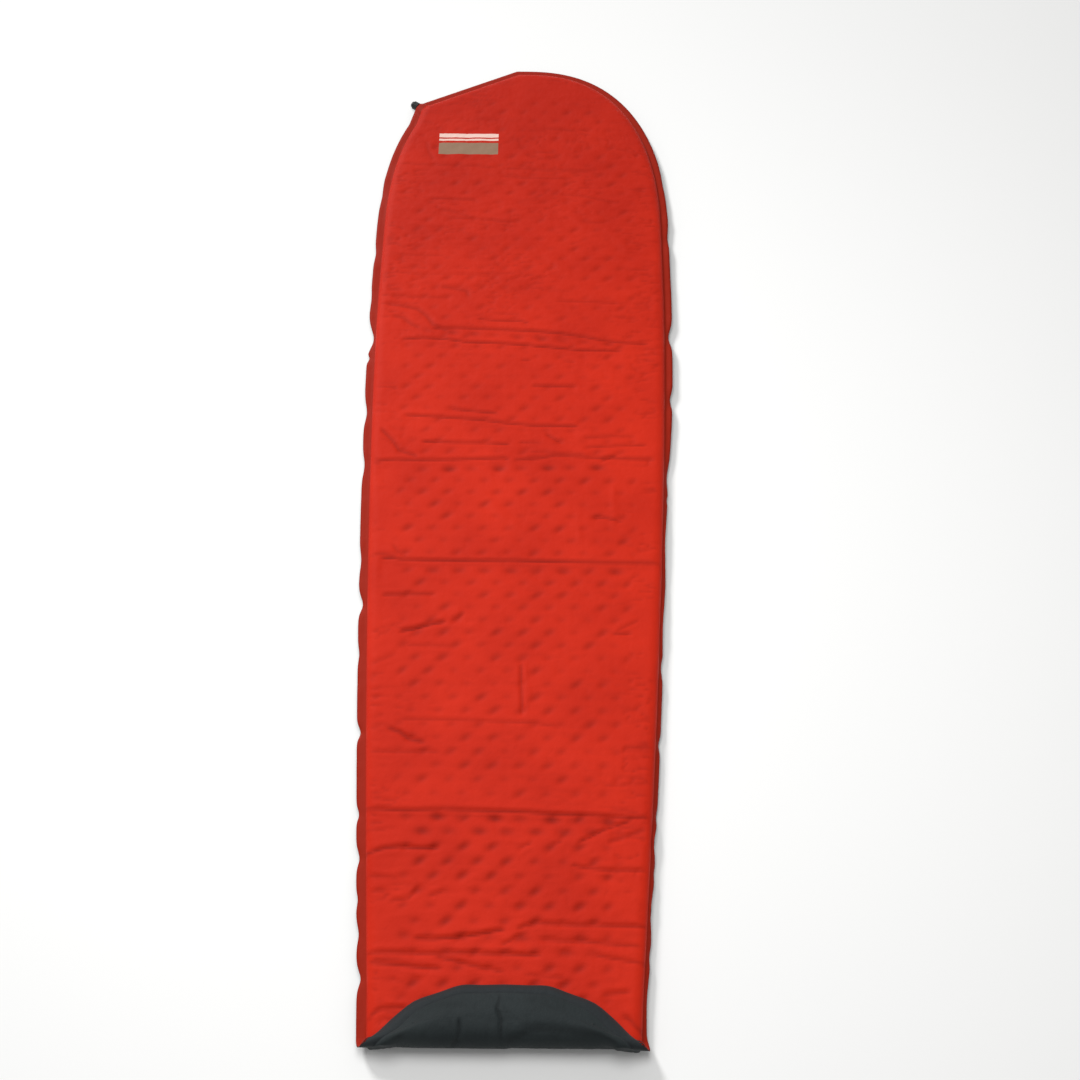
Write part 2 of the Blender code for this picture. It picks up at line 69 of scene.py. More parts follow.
# --- Sizes of the flat mat, taken from the frame where it has them ---
HEAD_Y = cad_box[1].y
HALF_WIDTH = cad_box[1].x
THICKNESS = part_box("top_fabric")[1].z
MIDDLE = THICKNESS / 2
FOLD_AT = HEAD_Y - FOLD_Y
BEND_LENGTH = math.pi * THICKNESS / 2
FLAP_AT = FOLD_AT + BEND_LENGTH
FLAT_LENGTH = FLAP_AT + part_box("bottom_fabric_foot")[1].y - FOLD_Y
FLANGE = 13 * MM
BAND = 0.75 * MM            # top of the upper welded band, from mid height
CHEST_AT = 0.53
HEAD_DEPTH = 0.400
HEAD_SQUARENESS = 2.4
FOOT_SQUARENESS = 1.9
FOOT_NARROWING = 0.262
TAPER_POWER = 1.5
SHOULDER_CUT_X = -0.017

# --- Valve corner ---
VALVE_FROM_HEAD = 0.096
VALVE_STANDOFF = 0.0095
VALVE_TURN = math.radians(145)
EAR_WIDTH = 0.022
EAR_FADE = 0.036
SLEEVE_LENGTH = 0.070       # of the casing's swelling round the valve, inwards from the edge
SLEEVE_HEIGHT = (5.4 * MM, 11.0 * MM)       # half of it, at the edge and at its inner end
SLEEVE_WIDTH = (9.5 * MM, 35.5 * MM)        # half of it, likewise

# --- How the fabrics are divided ---
COLUMNS, BEND_ROWS, ROW_STEP = 150, 12, 3.5 * MM            # red
GREY_COLUMNS, GREY_BEND_ROWS, GREY_ROW_STEP = 90, 14, 5.5 * MM
FOAM_COLUMNS, FOAM_BEND_ROWS, FOAM_ROW_STEP = 72, 10, 6.5 * MM
SLACK_COLUMNS, SLACK_BEND_ROWS, SLACK_ROW_STEP = 84, 4, 6.2 * MM
CORNER_ROWS = 10            # from the flap line to where the foot's arc takes over
ARC_STEPS = 60              # along each quarter of the head's and the foot's arc
HEAD_TURN = 0.30            # rows further from the head than this are straight
FOOT_CORNER = 0.035         # beyond the flap line, where the foot's arc takes over
FACE_INSET = 24.5 * MM      # the grid's own edge; rings go on from it to the mat's edge
RINGS = tuple(inset * MM for inset in (21, 18, 15.8, 14.4, 13.5, 13.0, 12.2, 8, 4, 0, 0))
HEM = 0.6 * MM              # how far the last ring turns over the cut edge

# --- Foam, thinner than the real slab so that it stays inside the covers ---
FOAM_INSET = 31 * MM
FOAM_TOP, FOAM_THICKNESS = 19 * MM, 15 * MM
PIT_DEPTH = 3 * MM
FOAM_WAIST = 0.07           # share of its width that it loses towards the fold

# --- Printed bars, plain: across (x from, to), along (s from, to), colour ---
PRINT = (
    ((-0.154, -0.047), (0.1960, 0.2240), "#8E7560"),
    ((-0.154, -0.047), (0.1858, 0.1905), "#E9C9BD"),
    ((-0.154, -0.047), (0.1735, 0.1825), "#E9C9BD"),
)

# --- How the fabrics lie ---
FACE_ROUNDING = 17 * MM     # from the weld to the red face's full height
UNDER_ROUNDING = 14 * MM
FACE_RISE = 11.2 * MM       # red face over mid plane beside its rounded edge
FACE_CROWN = 0.4 * MM       # and how much more it rises towards the middle
FACE_TOP = 25.0 * MM        # the red face stays under this, clear of the foot laid on it
MOST_RELIEF = 0.8 * MM      # wrinkles stand up no further than this
FOOT_WELD = 22.5 * MM       # height of the foot's weld on the flat mat, so it lies low when folded
FOOT_SLACK = 46 * MM        # width of the foot's edge that droops towards its weld
DROOP_POWER = 1.7
NOSE_Y = cad_box[0].y
PINCH, PINCH_REACH = 12.4 * MM, 50 * MM
FOOT_CORNER_DROP = 5 * MM
FOOT_BLUNT, FOOT_BLUNT_X = 3.5 * MM, 0.056   # flattens the foot's arc on both sides of its middle

# --- The red cover's slack ---
SLACK = 0.02                # spare length of the red fabric on its foam, along the mat
FOAM_HOLD = 0.06            # how firmly the foam keeps the fabric down between its cells
AIR_PRESSURE = 0.1
SETTLE_FRAMES, MOST_RISE = 14, 1.3 * MM


# --- Outline ---
def superellipse(share, power):
    return max(0.0, 1 - min(share, 1.0) ** power) ** (1 / power)


def half_width(s):
    along = min(max((s - CHEST_AT) / (FOLD_AT - CHEST_AT), 0.0), 1.0)
    wide = HALF_WIDTH * (1 - FOOT_NARROWING * along**TAPER_POWER)
    if s < HEAD_DEPTH:
        wide *= superellipse((HEAD_DEPTH - s) / HEAD_DEPTH, HEAD_SQUARENESS)
    if s > FOLD_AT:
        wide *= superellipse((s - FOLD_AT) / (FLAT_LENGTH - FOLD_AT), FOOT_SQUARENESS)
    return wide


def valve_ear():
    """The ear's outer corners (x, s), the lower one first, and the middle between them."""
    middle = Vector((-half_width(VALVE_FROM_HEAD) - VALVE_STANDOFF, VALVE_FROM_HEAD))
    across = Vector((math.sin(VALVE_TURN), math.cos(VALVE_TURN))) * EAR_WIDTH / 2
    return middle - across, middle + across, middle


def evenly(points, count):
    """count points evenly spaced along a polyline."""
    points = np.array(points, float)
    run = np.concatenate([[0], np.cumsum(np.linalg.norm(np.diff(points, axis=0), axis=1))])
    at = np.linspace(0, run[-1], count)
    return np.stack([np.interp(at, run, points[:, k]) for k in (0, 1)], 1)


def crown_line():
    """From the ear's middle over the straight shoulder and the crown to the right."""
    _, top_corner, middle = valve_ear()
    quarter = [VALVE_FROM_HEAD * (k / ARC_STEPS) ** 2 for k in range(ARC_STEPS + 1)]
    right = [(half_width(s), s) for s in quarter]
    return [tuple(middle), tuple(top_corner), (SHOULDER_CUT_X, 0.0)] + right


def foot_line():
    corner = FLAP_AT + FOOT_CORNER
    quarter = [FLAT_LENGTH - (FLAT_LENGTH - corner) * (k / ARC_STEPS) ** 2
               for k in range(ARC_STEPS + 1)]
    right = [(half_width(s), s) for s in quarter]
    return [(-x, s) for x, s in right[::-1]] + right[1:]


def side_x(stations, left):
    """x of the mat's edge at each station; the left side starts at the ear."""
    if not left:
        return np.array([half_width(s) for s in stations])
    low_corner, _, middle = valve_ear()
    fade = low_corner.y + EAR_FADE
    knots = [(middle.y, middle.x), (low_corner.y, low_corner.x), (fade, -half_width(fade))]
    return np.array([
        np.interp(s, *zip(*knots)) if s < fade else -half_width(s) for s in stations])


def rows(bend_rows, step):
    """Stations of the grid's rows where they meet the sides."""
    count = round((FOLD_AT - VALVE_FROM_HEAD) / step)
    body = list(np.linspace(VALVE_FROM_HEAD, FOLD_AT, count))
    bend = [FOLD_AT + BEND_LENGTH * k / bend_rows for k in range(1, bend_rows)]
    foot = [FLAP_AT + FOOT_CORNER * k / CORNER_ROWS for k in range(CORNER_ROWS + 1)]
    return np.array(body + bend + foot)


def smooth(t):
    t = np.clip(t, 0, 1)
    return t * t * (3 - 2 * t)


class Layout:
    """Where the grid's points and the rings round it lie on the flat mat."""

    def __init__(self, columns, bend_rows, step, inset=FACE_INSET):
        self.stations = rows(bend_rows, step)
        self.columns, self.row_count = columns, len(self.stations)
        crown = evenly(crown_line(), columns + 1)
        foot = evenly(foot_line(), columns + 1)
        left = np.stack([side_x(self.stations, True), self.stations], 1)
        right = np.stack([side_x(self.stations, False), self.stations], 1)
        # the whole edge, clockwise from the crown's left end
        self.edge = np.concatenate([crown[:-1], right[:-1], foot[::-1][:-1], left[::-1][:-1]])
        self.out = self.outward()
        inner = self.edge - self.out * inset
        c, r = columns, self.row_count - 1
        top, east = inner[:c + 1], inner[c:c + r + 1]
        south = inner[c + r:2 * c + r + 1][::-1]
        west = np.concatenate([inner[2 * c + r:], inner[:1]])[::-1]
        u = np.linspace(0, 1, c + 1)[:, None]
        self.grid = np.zeros((r + 1, c + 1, 2))
        for j, s in enumerate(self.stations):
            line = west[j] * (1 - u) + east[j] * u
            at_head = smooth((HEAD_TURN - s) / (HEAD_TURN - VALVE_FROM_HEAD))
            at_foot = smooth((s - FLAP_AT) / FOOT_CORNER)
            line = line + at_head * (top - (top[0] * (1 - u) + top[-1] * u))
            line = line + at_foot * (south - (south[0] * (1 - u) + south[-1] * u))
            self.grid[j] = line
        self.relax()

    def relax(self):
        """Even the grid out inside the ear, where two of its sides meet almost in a line."""
        grid = self.grid
        reach, rounds = 30 * MM, 120
        far = np.linalg.norm(grid - grid[0, 0], axis=2)
        share = (1 - smooth(far / reach))[1:-1, 1:-1, None]
        for _ in range(rounds):
            even = (grid[:-2, 1:-1] + grid[2:, 1:-1] + grid[1:-1, :-2] + grid[1:-1, 2:]) / 4
            grid[1:-1, 1:-1] += share * (even - grid[1:-1, 1:-1])

    def outward(self):
        """Outward steps of one unit: square to the edge at both ends, along x between them."""
        rounds, flattest = 24, 0.2
        along = np.roll(self.edge, -1, 0) - np.roll(self.edge, 1, 0)
        square = np.stack([along[:, 1], -along[:, 0]], 1)
        square /= np.linalg.norm(square, axis=1)[:, None]
        for _ in range(rounds):
            square = (np.roll(square, 1, 0) + 2 * square + np.roll(square, -1, 0)) / 4
            square /= np.linalg.norm(square, axis=1)[:, None]
        sideways = np.stack([
            1 / np.where(abs(square[:, 0]) < flattest, flattest, square[:, 0]),
            np.zeros(len(square))], 1)
        s = self.edge[:, 1]
        ends = np.maximum(
            smooth((HEAD_TURN - s) / (HEAD_TURN - VALVE_FROM_HEAD)),
            smooth((s - FLAP_AT) / FOOT_CORNER))[:, None]
        return square * ends + sideways * (1 - ends)

    def lane(self, j, i):
        """The edge's number that a point of the grid's rim belongs to."""
        c, r = self.columns, self.row_count - 1
        if j == 0:
            return i
        if i == c:
            return c + j
        if j == r:
            return c + r + (c - i)
        return (2 * c + r + (r - j)) % len(self.edge)


def make_flat(layout, rings):
    """A bmesh of the flat cloth at z 0: the grid, then one ring after the other to the edge."""
    bm = bmesh.new()
    lane = bm.verts.layers.int.new("lane")
    number = bm.verts.layers.int.new("number")
    column, row = bm.verts.layers.int.new("column"), bm.verts.layers.int.new("row")
    c, r = layout.columns, layout.row_count - 1
    made = bmesh.ops.create_grid(bm, x_segments=c, y_segments=r, size=1)["verts"]
    for vert in made:
        i = round((vert.co.x + 1) / 2 * c)
        j = round((1 - vert.co.y) / 2 * r)
        x, s = layout.grid[j][i]
        vert.co = (x, -s, 0)
        vert[column], vert[row] = i, j
        vert[lane] = layout.lane(j, i) if i in (0, c) or j in (0, r) else -1
    rim = [edge for edge in bm.edges if edge.is_boundary]
    for inset in rings:
        added = bmesh.ops.extrude_edge_only(bm, edges=rim)["geom"]
        rim = [item for item in added if isinstance(item, bmesh.types.BMEdge)]
        for vert in (item for item in added if isinstance(item, bmesh.types.BMVert)):
            x, s = layout.edge[vert[lane]] - layout.out[vert[lane]] * inset
            vert.co = (x, -s, 0)
            vert[column] = vert[row] = -1
    bm.normal_update()
    bmesh.ops.recalc_face_normals(bm, faces=bm.faces[:])
    if sum(face.normal.z for face in bm.faces) < 0:
        bmesh.ops.reverse_faces(bm, faces=bm.faces[:])
    for place, vert in enumerate(bm.verts):
        vert[number] = place
    return bm


def nearest(places, points):
    """Which of the places is nearest to each point, and how far it is."""
    tree = kdtree.KDTree(len(places))
    for number, (x, s) in enumerate(places):
        tree.insert((x, s, 0), number)
    tree.balance()
    found = [tree.find((x, s, 0)) for x, s in points]
    return [number for _, number, _ in found], np.array([far for _, _, far in found])


def from_edge(points, layout):
    """How far each flat point is from the mat's edge."""
    ahead = np.roll(layout.edge, -1, 0)
    edge = [layout.edge * (1 - share) + ahead * share for share in (0, 1 / 3, 2 / 3)]
    return nearest(np.concatenate(edge), points)[1]


def laid_out(flat):
    """Where points (x, s, z) of the flat mat lie once the foot is turned over."""
    x, s, z = flat.T
    turn = np.clip((s - FOLD_AT) / BEND_LENGTH, 0, 1) * math.pi
    beyond = np.maximum(s - FLAP_AT, 0)
    reach = FOLD_Z - z
    y = np.where(s <= FOLD_AT, HEAD_Y - s, FOLD_Y - reach * np.sin(turn) + beyond)
    up = np.where(s <= FOLD_AT, z, FOLD_Z - reach * np.cos(turn))
    return np.stack([x, y, up], 1)


# --- Relief of the red side ---
# creases: knots (x, y), depth, width of the line, depth and reach of the trough below it, in mm
CREASES = (
    # foot third
    (((-160, -435), (-60, -437), (20, -439), (75, -446)), 1.0, 2.2, 0.3, 6),
    (((-178, -447), (-156, -455), (-143, -465), (-116, -471)), 2.0, 3.4, 0.5, 7),
    (((-200, -484), (-150, -484), (-95, -484)), 1.1, 2.4, 0.3, 6),
    (((154, -487), (161, -476), (202, -474)), 1.2, 2.6, 0.3, 6),
    (((125, -531), (200, -527)), 0.8, 2.2, 0.2, 6),
    (((-212, -566), (-150, -569), (-90, -567), (0, -569), (60, -572), (120, -574), (195, -577)),
     2.0, 2.2, 1.6, 12),
    (((-205, -600), (-185, -597), (-160, -596)), 0.7, 2.4, 0.2, 6),
    (((90, -613), (110, -604), (130, -593), (172, -578)), 2.0, 2.0, 0.4, 6),
    (((130, -612), (160, -602), (190, -590)), 1.4, 3.4, 0.3, 8),
    (((14, -620), (36, -611)), 1.4, 2.0, 0.0, 6),
    (((58, -617), (76, -608)), 1.3, 2.0, 0.0, 6),
    (((-202, -634), (-185, -628), (-165, -622), (-148, -620), (-120, -622), (-88, -621)),
     2.2, 2.6, 0.7, 8),
    (((80, -641), (100, -646), (130, -649), (190, -649)), 1.6, 2.4, 0.3, 7),
    (((-192, -659), (-140, -663)), 0.9, 2.4, 0.2, 6),
    (((-160, -695), (-130, -690), (-121, -680), (-114, -667)), 1.3, 2.4, 0.2, 6),
    (((-108, -687), (-80, -680)), 1.2, 2.6, 0.2, 6),
    (((10, -729), (25, -724), (42, -721), (80, -722), (188, -723)), 1.7, 2.4, 0.5, 8),
    (((-125, -742), (-95, -743), (-60, -740), (-30, -735), (3, -728)), 2.2, 2.4, 0.6, 8),
    (((-186, -761), (-150, -760), (-110, -761), (-60, -760), (0, -761), (50, -762)),
     2.0, 2.3, 0.4, 7),
    (((-95, -764), (-60, -772), (-30, -779), (2, -784)), 1.6, 2.6, 0.3, 7),
    (((-182, -773), (-140, -776), (-100, -780), (-78, -781)), 1.9, 2.6, 0.4, 7),
    (((110, -760), (150, -767), (192, -773)), 1.4, 2.4, 0.4, 7),
    (((40, -742), (100, -744), (180, -750)), 1.4, 2.6, 0.3, 7),
    (((-10, -751), (6, -744), (20, -735)), 1.5, 2.2, 0.0, 6),
    (((20, -787), (80, -790)), 1.0, 2.2, 0.2, 6),
    (((-178, -838), (-163, -831), (-120, -829)), 1.8, 2.6, 0.4, 8),
    (((120, -812), (165, -806)), 1.3, 3.0, 0.4, 8),
    (((145, -836), (188, -848)), 1.6, 3.4, 0.5, 9),
    (((150, -860), (184, -858)), 1.2, 3.0, 0.3, 8),
    # middle third
    (((-228, -3), (-190, 1), (-158, 0), (-100, 1), (-60, 3), (-20, 5), (-8, 0)), 1.9, 2.2, 1.2, 11),
    (((-10, 1), (34, 5), (60, 11), (90, 9), (128, 7), (220, 4)), 1.6, 2.6, 0.5, 8),
    (((128, 0), (145, 8), (162, 14)), 1.8, 2.6, 0.3, 7),
    (((15, 17), (60, 15), (110, 12)), 0.9, 2.2, 0.2, 6),
    (((-222, -172), (-200, -169), (-176, -173)), 1.0, 2.4, 0.3, 7),
    (((-188, -150), (-176, -165), (-158, -177)), 1.0, 2.6, 0.0, 6),
    (((-206, -174), (-170, -178), (-100, -179), (0, -178), (60, -180), (130, -181), (222, -181)),
     2.6, 1.9, 1.5, 11),
    (((-200, -238), (-150, -237), (-112, -237)), 2.0, 2.4, 0.4, 7),
    (((-170, -299), (-145, -294), (-118, -285), (-95, -281)), 2.8, 2.8, 0.6, 8),
    (((-95, -281), (-82, -276), (-70, -262)), 1.6, 3.6, 0.0, 6),
    (((-160, -320), (-80, -322)), 0.9, 2.4, 0.2, 6),
    (((-208, -353), (-165, -332)), 0.7, 3.2, 0.2, 8),
    (((112, -101), (135, -102), (166, -110)), 1.8, 2.4, 0.3, 7),
    (((140, -300), (178, -298)), 1.6, 2.2, 0.2, 6),
    (((148, -296), (188, -274)), 1.0, 2.4, 0.2, 6),
    (((170, -208), (190, -199)), 0.8, 2.4, 0.2, 6),
    (((12, -345), (14, -390), (16, -432)), 1.5, 2.6, 0.0, 6),
    # head third
    (((-205, 418), (-128, 417)), 1.0, 2.4, 0.4, 7),
    (((-190, 376), (-100, 376), (-5, 379)), 0.8, 2.6, 0.3, 7),
    (((-140, 350), (-112, 345), (-92, 340), (-86, 322)), 2.0, 3.6, 0.3, 7),
    (((-222, 332), (-180, 326), (-112, 325)), 1.3, 3.0, 0.6, 9),
    (((-230, 312), (-200, 308), (-172, 300), (-156, 285), (-145, 268), (-116, 252)),
     2.3, 3.4, 0.6, 9),
    (((-218, 288), (-195, 282), (-180, 268), (-162, 259)), 1.2, 4.0, 0.4, 9),
    (((-76, 281), (-40, 277), (0, 277), (18, 271)), 1.7, 2.2, 0.4, 7),
    (((-34, 342), (5, 342)), 1.1, 2.2, 0.2, 6),
    (((28, 343), (92, 341)), 0.9, 2.2, 0.2, 6),
    (((-150, 260), (-100, 261), (-60, 259), (-20, 258), (30, 255), (70, 251), (100, 246),
      (130, 239), (160, 234), (215, 231)), 1.8, 2.6, 0.8, 10),
    (((-200, 236), (-160, 240), (-122, 238), (-90, 232), (-50, 231), (0, 228), (30, 225),
      (90, 218), (130, 217), (172, 216)), 2.1, 2.1, 0.7, 9),
    (((55, 320), (110, 319), (168, 315)), 1.6, 2.2, 0.3, 7),
    (((0, 197), (22, 195)), 1.2, 2.2, 0.1, 6),
    (((68, 195), (94, 193)), 1.2, 2.2, 0.1, 6),
    (((16, 145), (60, 144), (98, 145)), 1.9, 2.0, 0.4, 7),
    (((-112, 98), (-60, 92), (-28, 89)), 1.9, 2.4, 0.3, 7),
    (((-185, 86), (-120, 81), (-60, 77), (-20, 71), (22, 67), (100, 66)), 1.9, 2.2, 0.8, 10),
    (((-155, 35), (-100, 33), (-50, 33), (-8, 31)), 2.2, 2.0, 0.4, 7),
    (((-2, 34), (42, 33)), 1.5, 2.0, 0.2, 6),
    (((-220, 62), (-197, 36), (-186, 18), (-160, 8), (-156, 0)), 1.6, 3.2, 0.3, 7),
    (((40, 55), (60, 40), (76, 31)), 1.5, 3.0, 0.0, 6),
    (((100, 43), (150, 48), (190, 47)), 1.0, 3.0, 0.4, 8),
    (((102, 25), (140, 29), (208, 32)), 1.5, 2.2, 0.3, 7),
    (((0, 718), (12, 716), (40, 718), (80, 716), (128, 716)), 1.6, 2.2, 0.4, 7),
    (((-100, 744), (-60, 741), (-36, 740)), 1.0, 3.4, 0.3, 8),
    (((-225, 632), (-170, 628), (-100, 627), (-50, 622), (0, 620), (40, 621), (95, 618),
      (135, 617)), 1.2, 2.4, 0.6, 9),
    (((-42, 604), (0, 598), (50, 597), (82, 599)), 1.3, 2.4, 0.4, 7),
    (((-48, 612), (-30, 607)), 1.0, 2.2, 0.2, 6),
    (((120, 640), (152, 637)), 1.2, 2.2, 0.2, 6),
    (((130, 680), (165, 672), (212, 655)), 0.8, 3.0, 0.3, 8),
    (((150, 735), (200, 738)), 0.6, 2.6, 0.3, 8),
    (((-168, 547), (-120, 546), (-78, 545)), 2.0, 2.4, 0.4, 7),
    (((60, 560), (100, 557), (130, 549), (172, 538)), 1.2, 2.6, 0.4, 8),
    (((-152, 523), (-120, 517), (-92, 505), (-74, 499)), 1.4, 3.0, 0.3, 7),
    (((-138, 504), (-60, 499), (-40, 495), (2, 494)), 1.4, 2.4, 0.3, 7),
    (((104, 493), (152, 494)), 1.3, 2.2, 0.3, 7),
    (((-178, 690), (-172, 660), (-160, 635)), 1.2, 3.4, 0.2, 7),
)

# raised folds that run slanting down the right half: ends (x, y), height, width in mm
RIDGES = (
    ((60, 706), (100, 668), 0.8, 6), ((16, 680), (46, 640), 0.8, 6),
    ((-24, 592), (8, 566), 0.6, 6), ((62, 534), (80, 500), 0.6, 6),
    ((76, 520), (112, 476), 0.8, 6), ((140, 482), (186, 428), 0.9, 8),
    ((40, 430), (84, 370), 0.8, 8), ((100, 540), (112, 505), 0.6, 5),
    ((150, 610), (200, 560), 0.5, 8), ((-50, -66), (-12, -112), 0.9, 7),
    ((-12, -112), (42, -142), 0.6, 6), ((94, -88), (98, -150), 0.6, 5),
    ((-70, -300), (-30, -262), 0.5, 7),
    ((-52, -322), (-20, -288), 0.6, 7), ((24, -376), (22, -412), 0.8, 5),
    ((-62, -676), (-6, -636), 0.5, 8), ((-30, -712), (8, -672), 0.5, 8),
    ((150, -40), (148, -130), 0.7, 5), ((-44, -470), (-36, -500), 0.5, 6),
)

# the foam's cells by stretch: y from, y to, one cell's (x, y), pitch across, pitch along, depth
CELLS = (
    (-900, -574, (36.3, -679.1), 39.0, 40.0, 1.00),
    (-562, -184, (13.3, -257.5), 38.7, 41.0, 0.72),
    (-172, -20, (27.4, -36.7), 38.5, 43.0, 0.75),
    (8, 258, (27.2, 78.9), 38.5, 41.5, 0.55),
    (262, 500, (10.5, 304.8), 39.0, 43.0, 0.50),
    (504, 800, (16.5, 518.3), 39.5, 44.0, 0.55),
)
# rows pulled in just under the long folds: y, one cell's x, pitch across, depth, slope
DRAWN_ROWS = (
    (-14, 8, 38.5, 1.5, 0.02), (-196, 33, 38.9, 1.3, 0.0), (-579.5, 17.5, 39.0, 1.7, -0.02),
    (-598, 37, 39.0, 1.5, 0.0), (-740, 17.5, 39.0, 1.2, -0.01), (-759, 37, 39.0, 1.0, 0.0),
    (243, 70, 37, 1.0, -0.08),
)
CELL_DIP = 1.8 * MM
CELL_RADIUS, DRAWN_RADIUS = 8.3, 7.0        # of a cell's dip in the fabric, mm
CELL_CLEAR, CELL_FADE = 44, 26              # no cells this near the edge, then fading in, mm
DRAWN_HALF = 158                            # the drawn rows reach this far from the middle, mm
HEAD_THIRD = 290                            # above this y, in mm, the creases are softer
CREASE_FADE = 0.011                         # length over which a crease's ends run out


def line_field(points, knots):
    """For each point: signed distance from a line of knots (above it positive), and how much
    of the line is beside it, which fades out at both ends."""
    knots = np.array(knots, float) * MM
    best = np.full(len(points), 1e9)
    sign = np.ones(len(points))
    run = np.zeros(len(points))
    lengths = np.linalg.norm(np.diff(knots, axis=0), axis=1)
    total, before = lengths.sum(), 0.0
    for a, b, length in zip(knots[:-1], knots[1:], lengths):
        step = (b - a) / length
        off = points - a
        along = np.clip(off @ step, 0, length)
        gap = off - along[:, None] * step
        far = np.linalg.norm(gap, axis=1)
        nearer = far < best
        best = np.where(nearer, far, best)
        side = step[0] * off[:, 1] - step[1] * off[:, 0]
        sign = np.where(nearer, np.where(side >= 0, 1.0, -1.0), sign)
        run = np.where(nearer, before + along, run)
        before += length
    fade = min(CREASE_FADE, total / 3)
    beside = smooth(run / fade) * smooth((total - run) / fade)
    return best, sign, beside


def near(points, knots, margin):
    """Numbers of the points in the box round some knots, with a margin."""
    knots = np.array(knots, float) * MM
    low, high = knots.min(0) - margin, knots.max(0) + margin
    return np.where(((points > low) & (points < high)).all(1))[0]


def crease_relief(points, creases, ridges):
    """Depth of the creases at points (x, y), negative downwards, and how sharp they are."""
    depth, sharp = np.zeros(len(points)), np.zeros(len(points))
    for knots, deep, wide, trough, reach in creases:
        here = near(points, knots, 4 * reach * MM + 0.012)
        if not len(here):
            continue
        if knots[0][0] > knots[-1][0]:
            knots = knots[::-1]
        far, sign, beside = line_field(points[here], knots)
        if knots[0][1] > HEAD_THIRD:
            deep, trough, wide = 0.6 * deep, 0.7 * trough, 1.1 * wide
        below = np.where(sign < 0, far, 0) / (reach * MM)
        above = np.where(sign > 0, far, 0) / (reach * MM)
        line = -deep * np.exp(-(far / (wide * MM)) ** 2)
        basin = -trough * np.where(sign < 0, below * np.exp(1 - below), 0)
        lip = 0.35 * deep * np.exp(-((far / MM - 2.4 * wide) / (1.3 * wide)) ** 2)
        lip = lip * np.where(sign > 0, 1.0, 0.5) + 0.2 * trough * np.exp(-(above - 1) ** 2) * (
            sign > 0)
        depth[here] += (line + basin + lip) * beside * MM
        # how sharp the crease is; this also sets the painted shade along it
        mark = min(deep / 2.4, 1.0) * np.exp(-(far / (0.9 * wide * MM)) ** 2) * beside
        sharp[here] = np.maximum(sharp[here], mark)
    for a, b, high, wide in ridges:
        here = near(points, (a, b), 0.02)
        if len(here):
            far, _, beside = line_field(points[here], (a, b))
            depth[here] += high * MM * np.exp(-(far / (wide * MM)) ** 2) * beside
    return depth, sharp


def cell_relief(points, edge_gap):
    """Dip of the fabric into the foam's cells, 0 to 1, at points (x, y)."""
    dip = np.zeros(len(points))
    x, y = points.T / MM
    for low, high, (x0, y0), across, along, deep in CELLS:
        inside = (y > low - 6) & (y < high + 6)
        row = np.round((y - y0) / (along / 2))
        shift = np.where(row % 2 == 0, 0, across / 2)
        column = np.round((x - x0 - shift) / across)
        cx, cy = x0 + shift + column * across, y0 + row * along / 2
        wobble = np.sin(cx * 12.9898 + cy * 78.233) * 43758.5453
        chance = wobble - np.floor(wobble)
        radius = CELL_RADIUS * (0.85 + 0.3 * chance)
        off = x - cx - 3 * (chance - 0.5)
        far = np.hypot(off * 0.85, (y - cy - off * (0.5 * chance - 0.05)) * 1.35)
        kept = inside & (cy > low) & (cy < high)
        one = np.exp(-(far / radius) ** 2 * 1.6) * deep * (0.45 + 0.95 * chance)
        dip = np.where(kept, np.maximum(dip, one), dip)
    for y0, x0, across, deep, slope in DRAWN_ROWS:
        cx = x0 + np.round((x - x0) / across) * across
        chance = 0.5 + 0.5 * np.sin(cx * 0.73 + y0 * 1.9)
        far = np.hypot((x - cx - 5 * (chance - 0.5)) / 1.45, (y - y0 - slope * x) * 1.3)
        deep = deep * (0.45 + 0.55 * chance)
        one = deep * np.exp(-(far / DRAWN_RADIUS) ** 2)
        dip = np.maximum(dip, one * (abs(cx) < DRAWN_HALF))
    return dip * smooth((edge_gap / MM - CELL_CLEAR) / CELL_FADE)


def noise_at(points, size_x, size_y, seed, octaves=2):
    """Smooth noise at points whose features are this large across and along."""
    offset = Vector((seed * 17.3, seed * 9.1, seed * 3.7))
    return np.array([
        noise.fractal(Vector((x / size_x, y / size_y, 0)) + offset, 0.6, 2.0, octaves)
        for x, y in points])


# --- Edge band ---
# where the band is tucked under or curls up: y, how much, half its length, in mm
LEFT_TUCKS = (
    (247, 9, 26), (206, 4, 9), (97, 4, 22), (-4, 3.5, 22), (-175, 2.5, 20), (-248, 6, 16),
    (-330, 2, 14), (-452, 5, 11), (-572, 3.5, 10), (-633, 4, 13), (-690, 2, 10),
    (-735, 3, 14), (-792, 5, 13), (430, 2, 16), (330, 1.5, 20), (560, 1.5, 24),
)
RIGHT_TUCKS = (
    (255, 6, 20), (128, 4, 16), (-20, 5, 26), (-62, 3, 8), (-178, 3, 10), (-345, 6, 18),
    (-465, 5, 10), (-570, 3, 10), (-650, 2, 10), (-760, 3, 12), (470, 2, 18), (600, 1.5, 26),
)
# stretches of the right side where the grey underside bellies out past the band
RIGHT_BELLIES = ((-140, 5, 46), (-285, 5, 48), (-608, 6, 17), (-700, 6, 26), (-815, 4, 30))


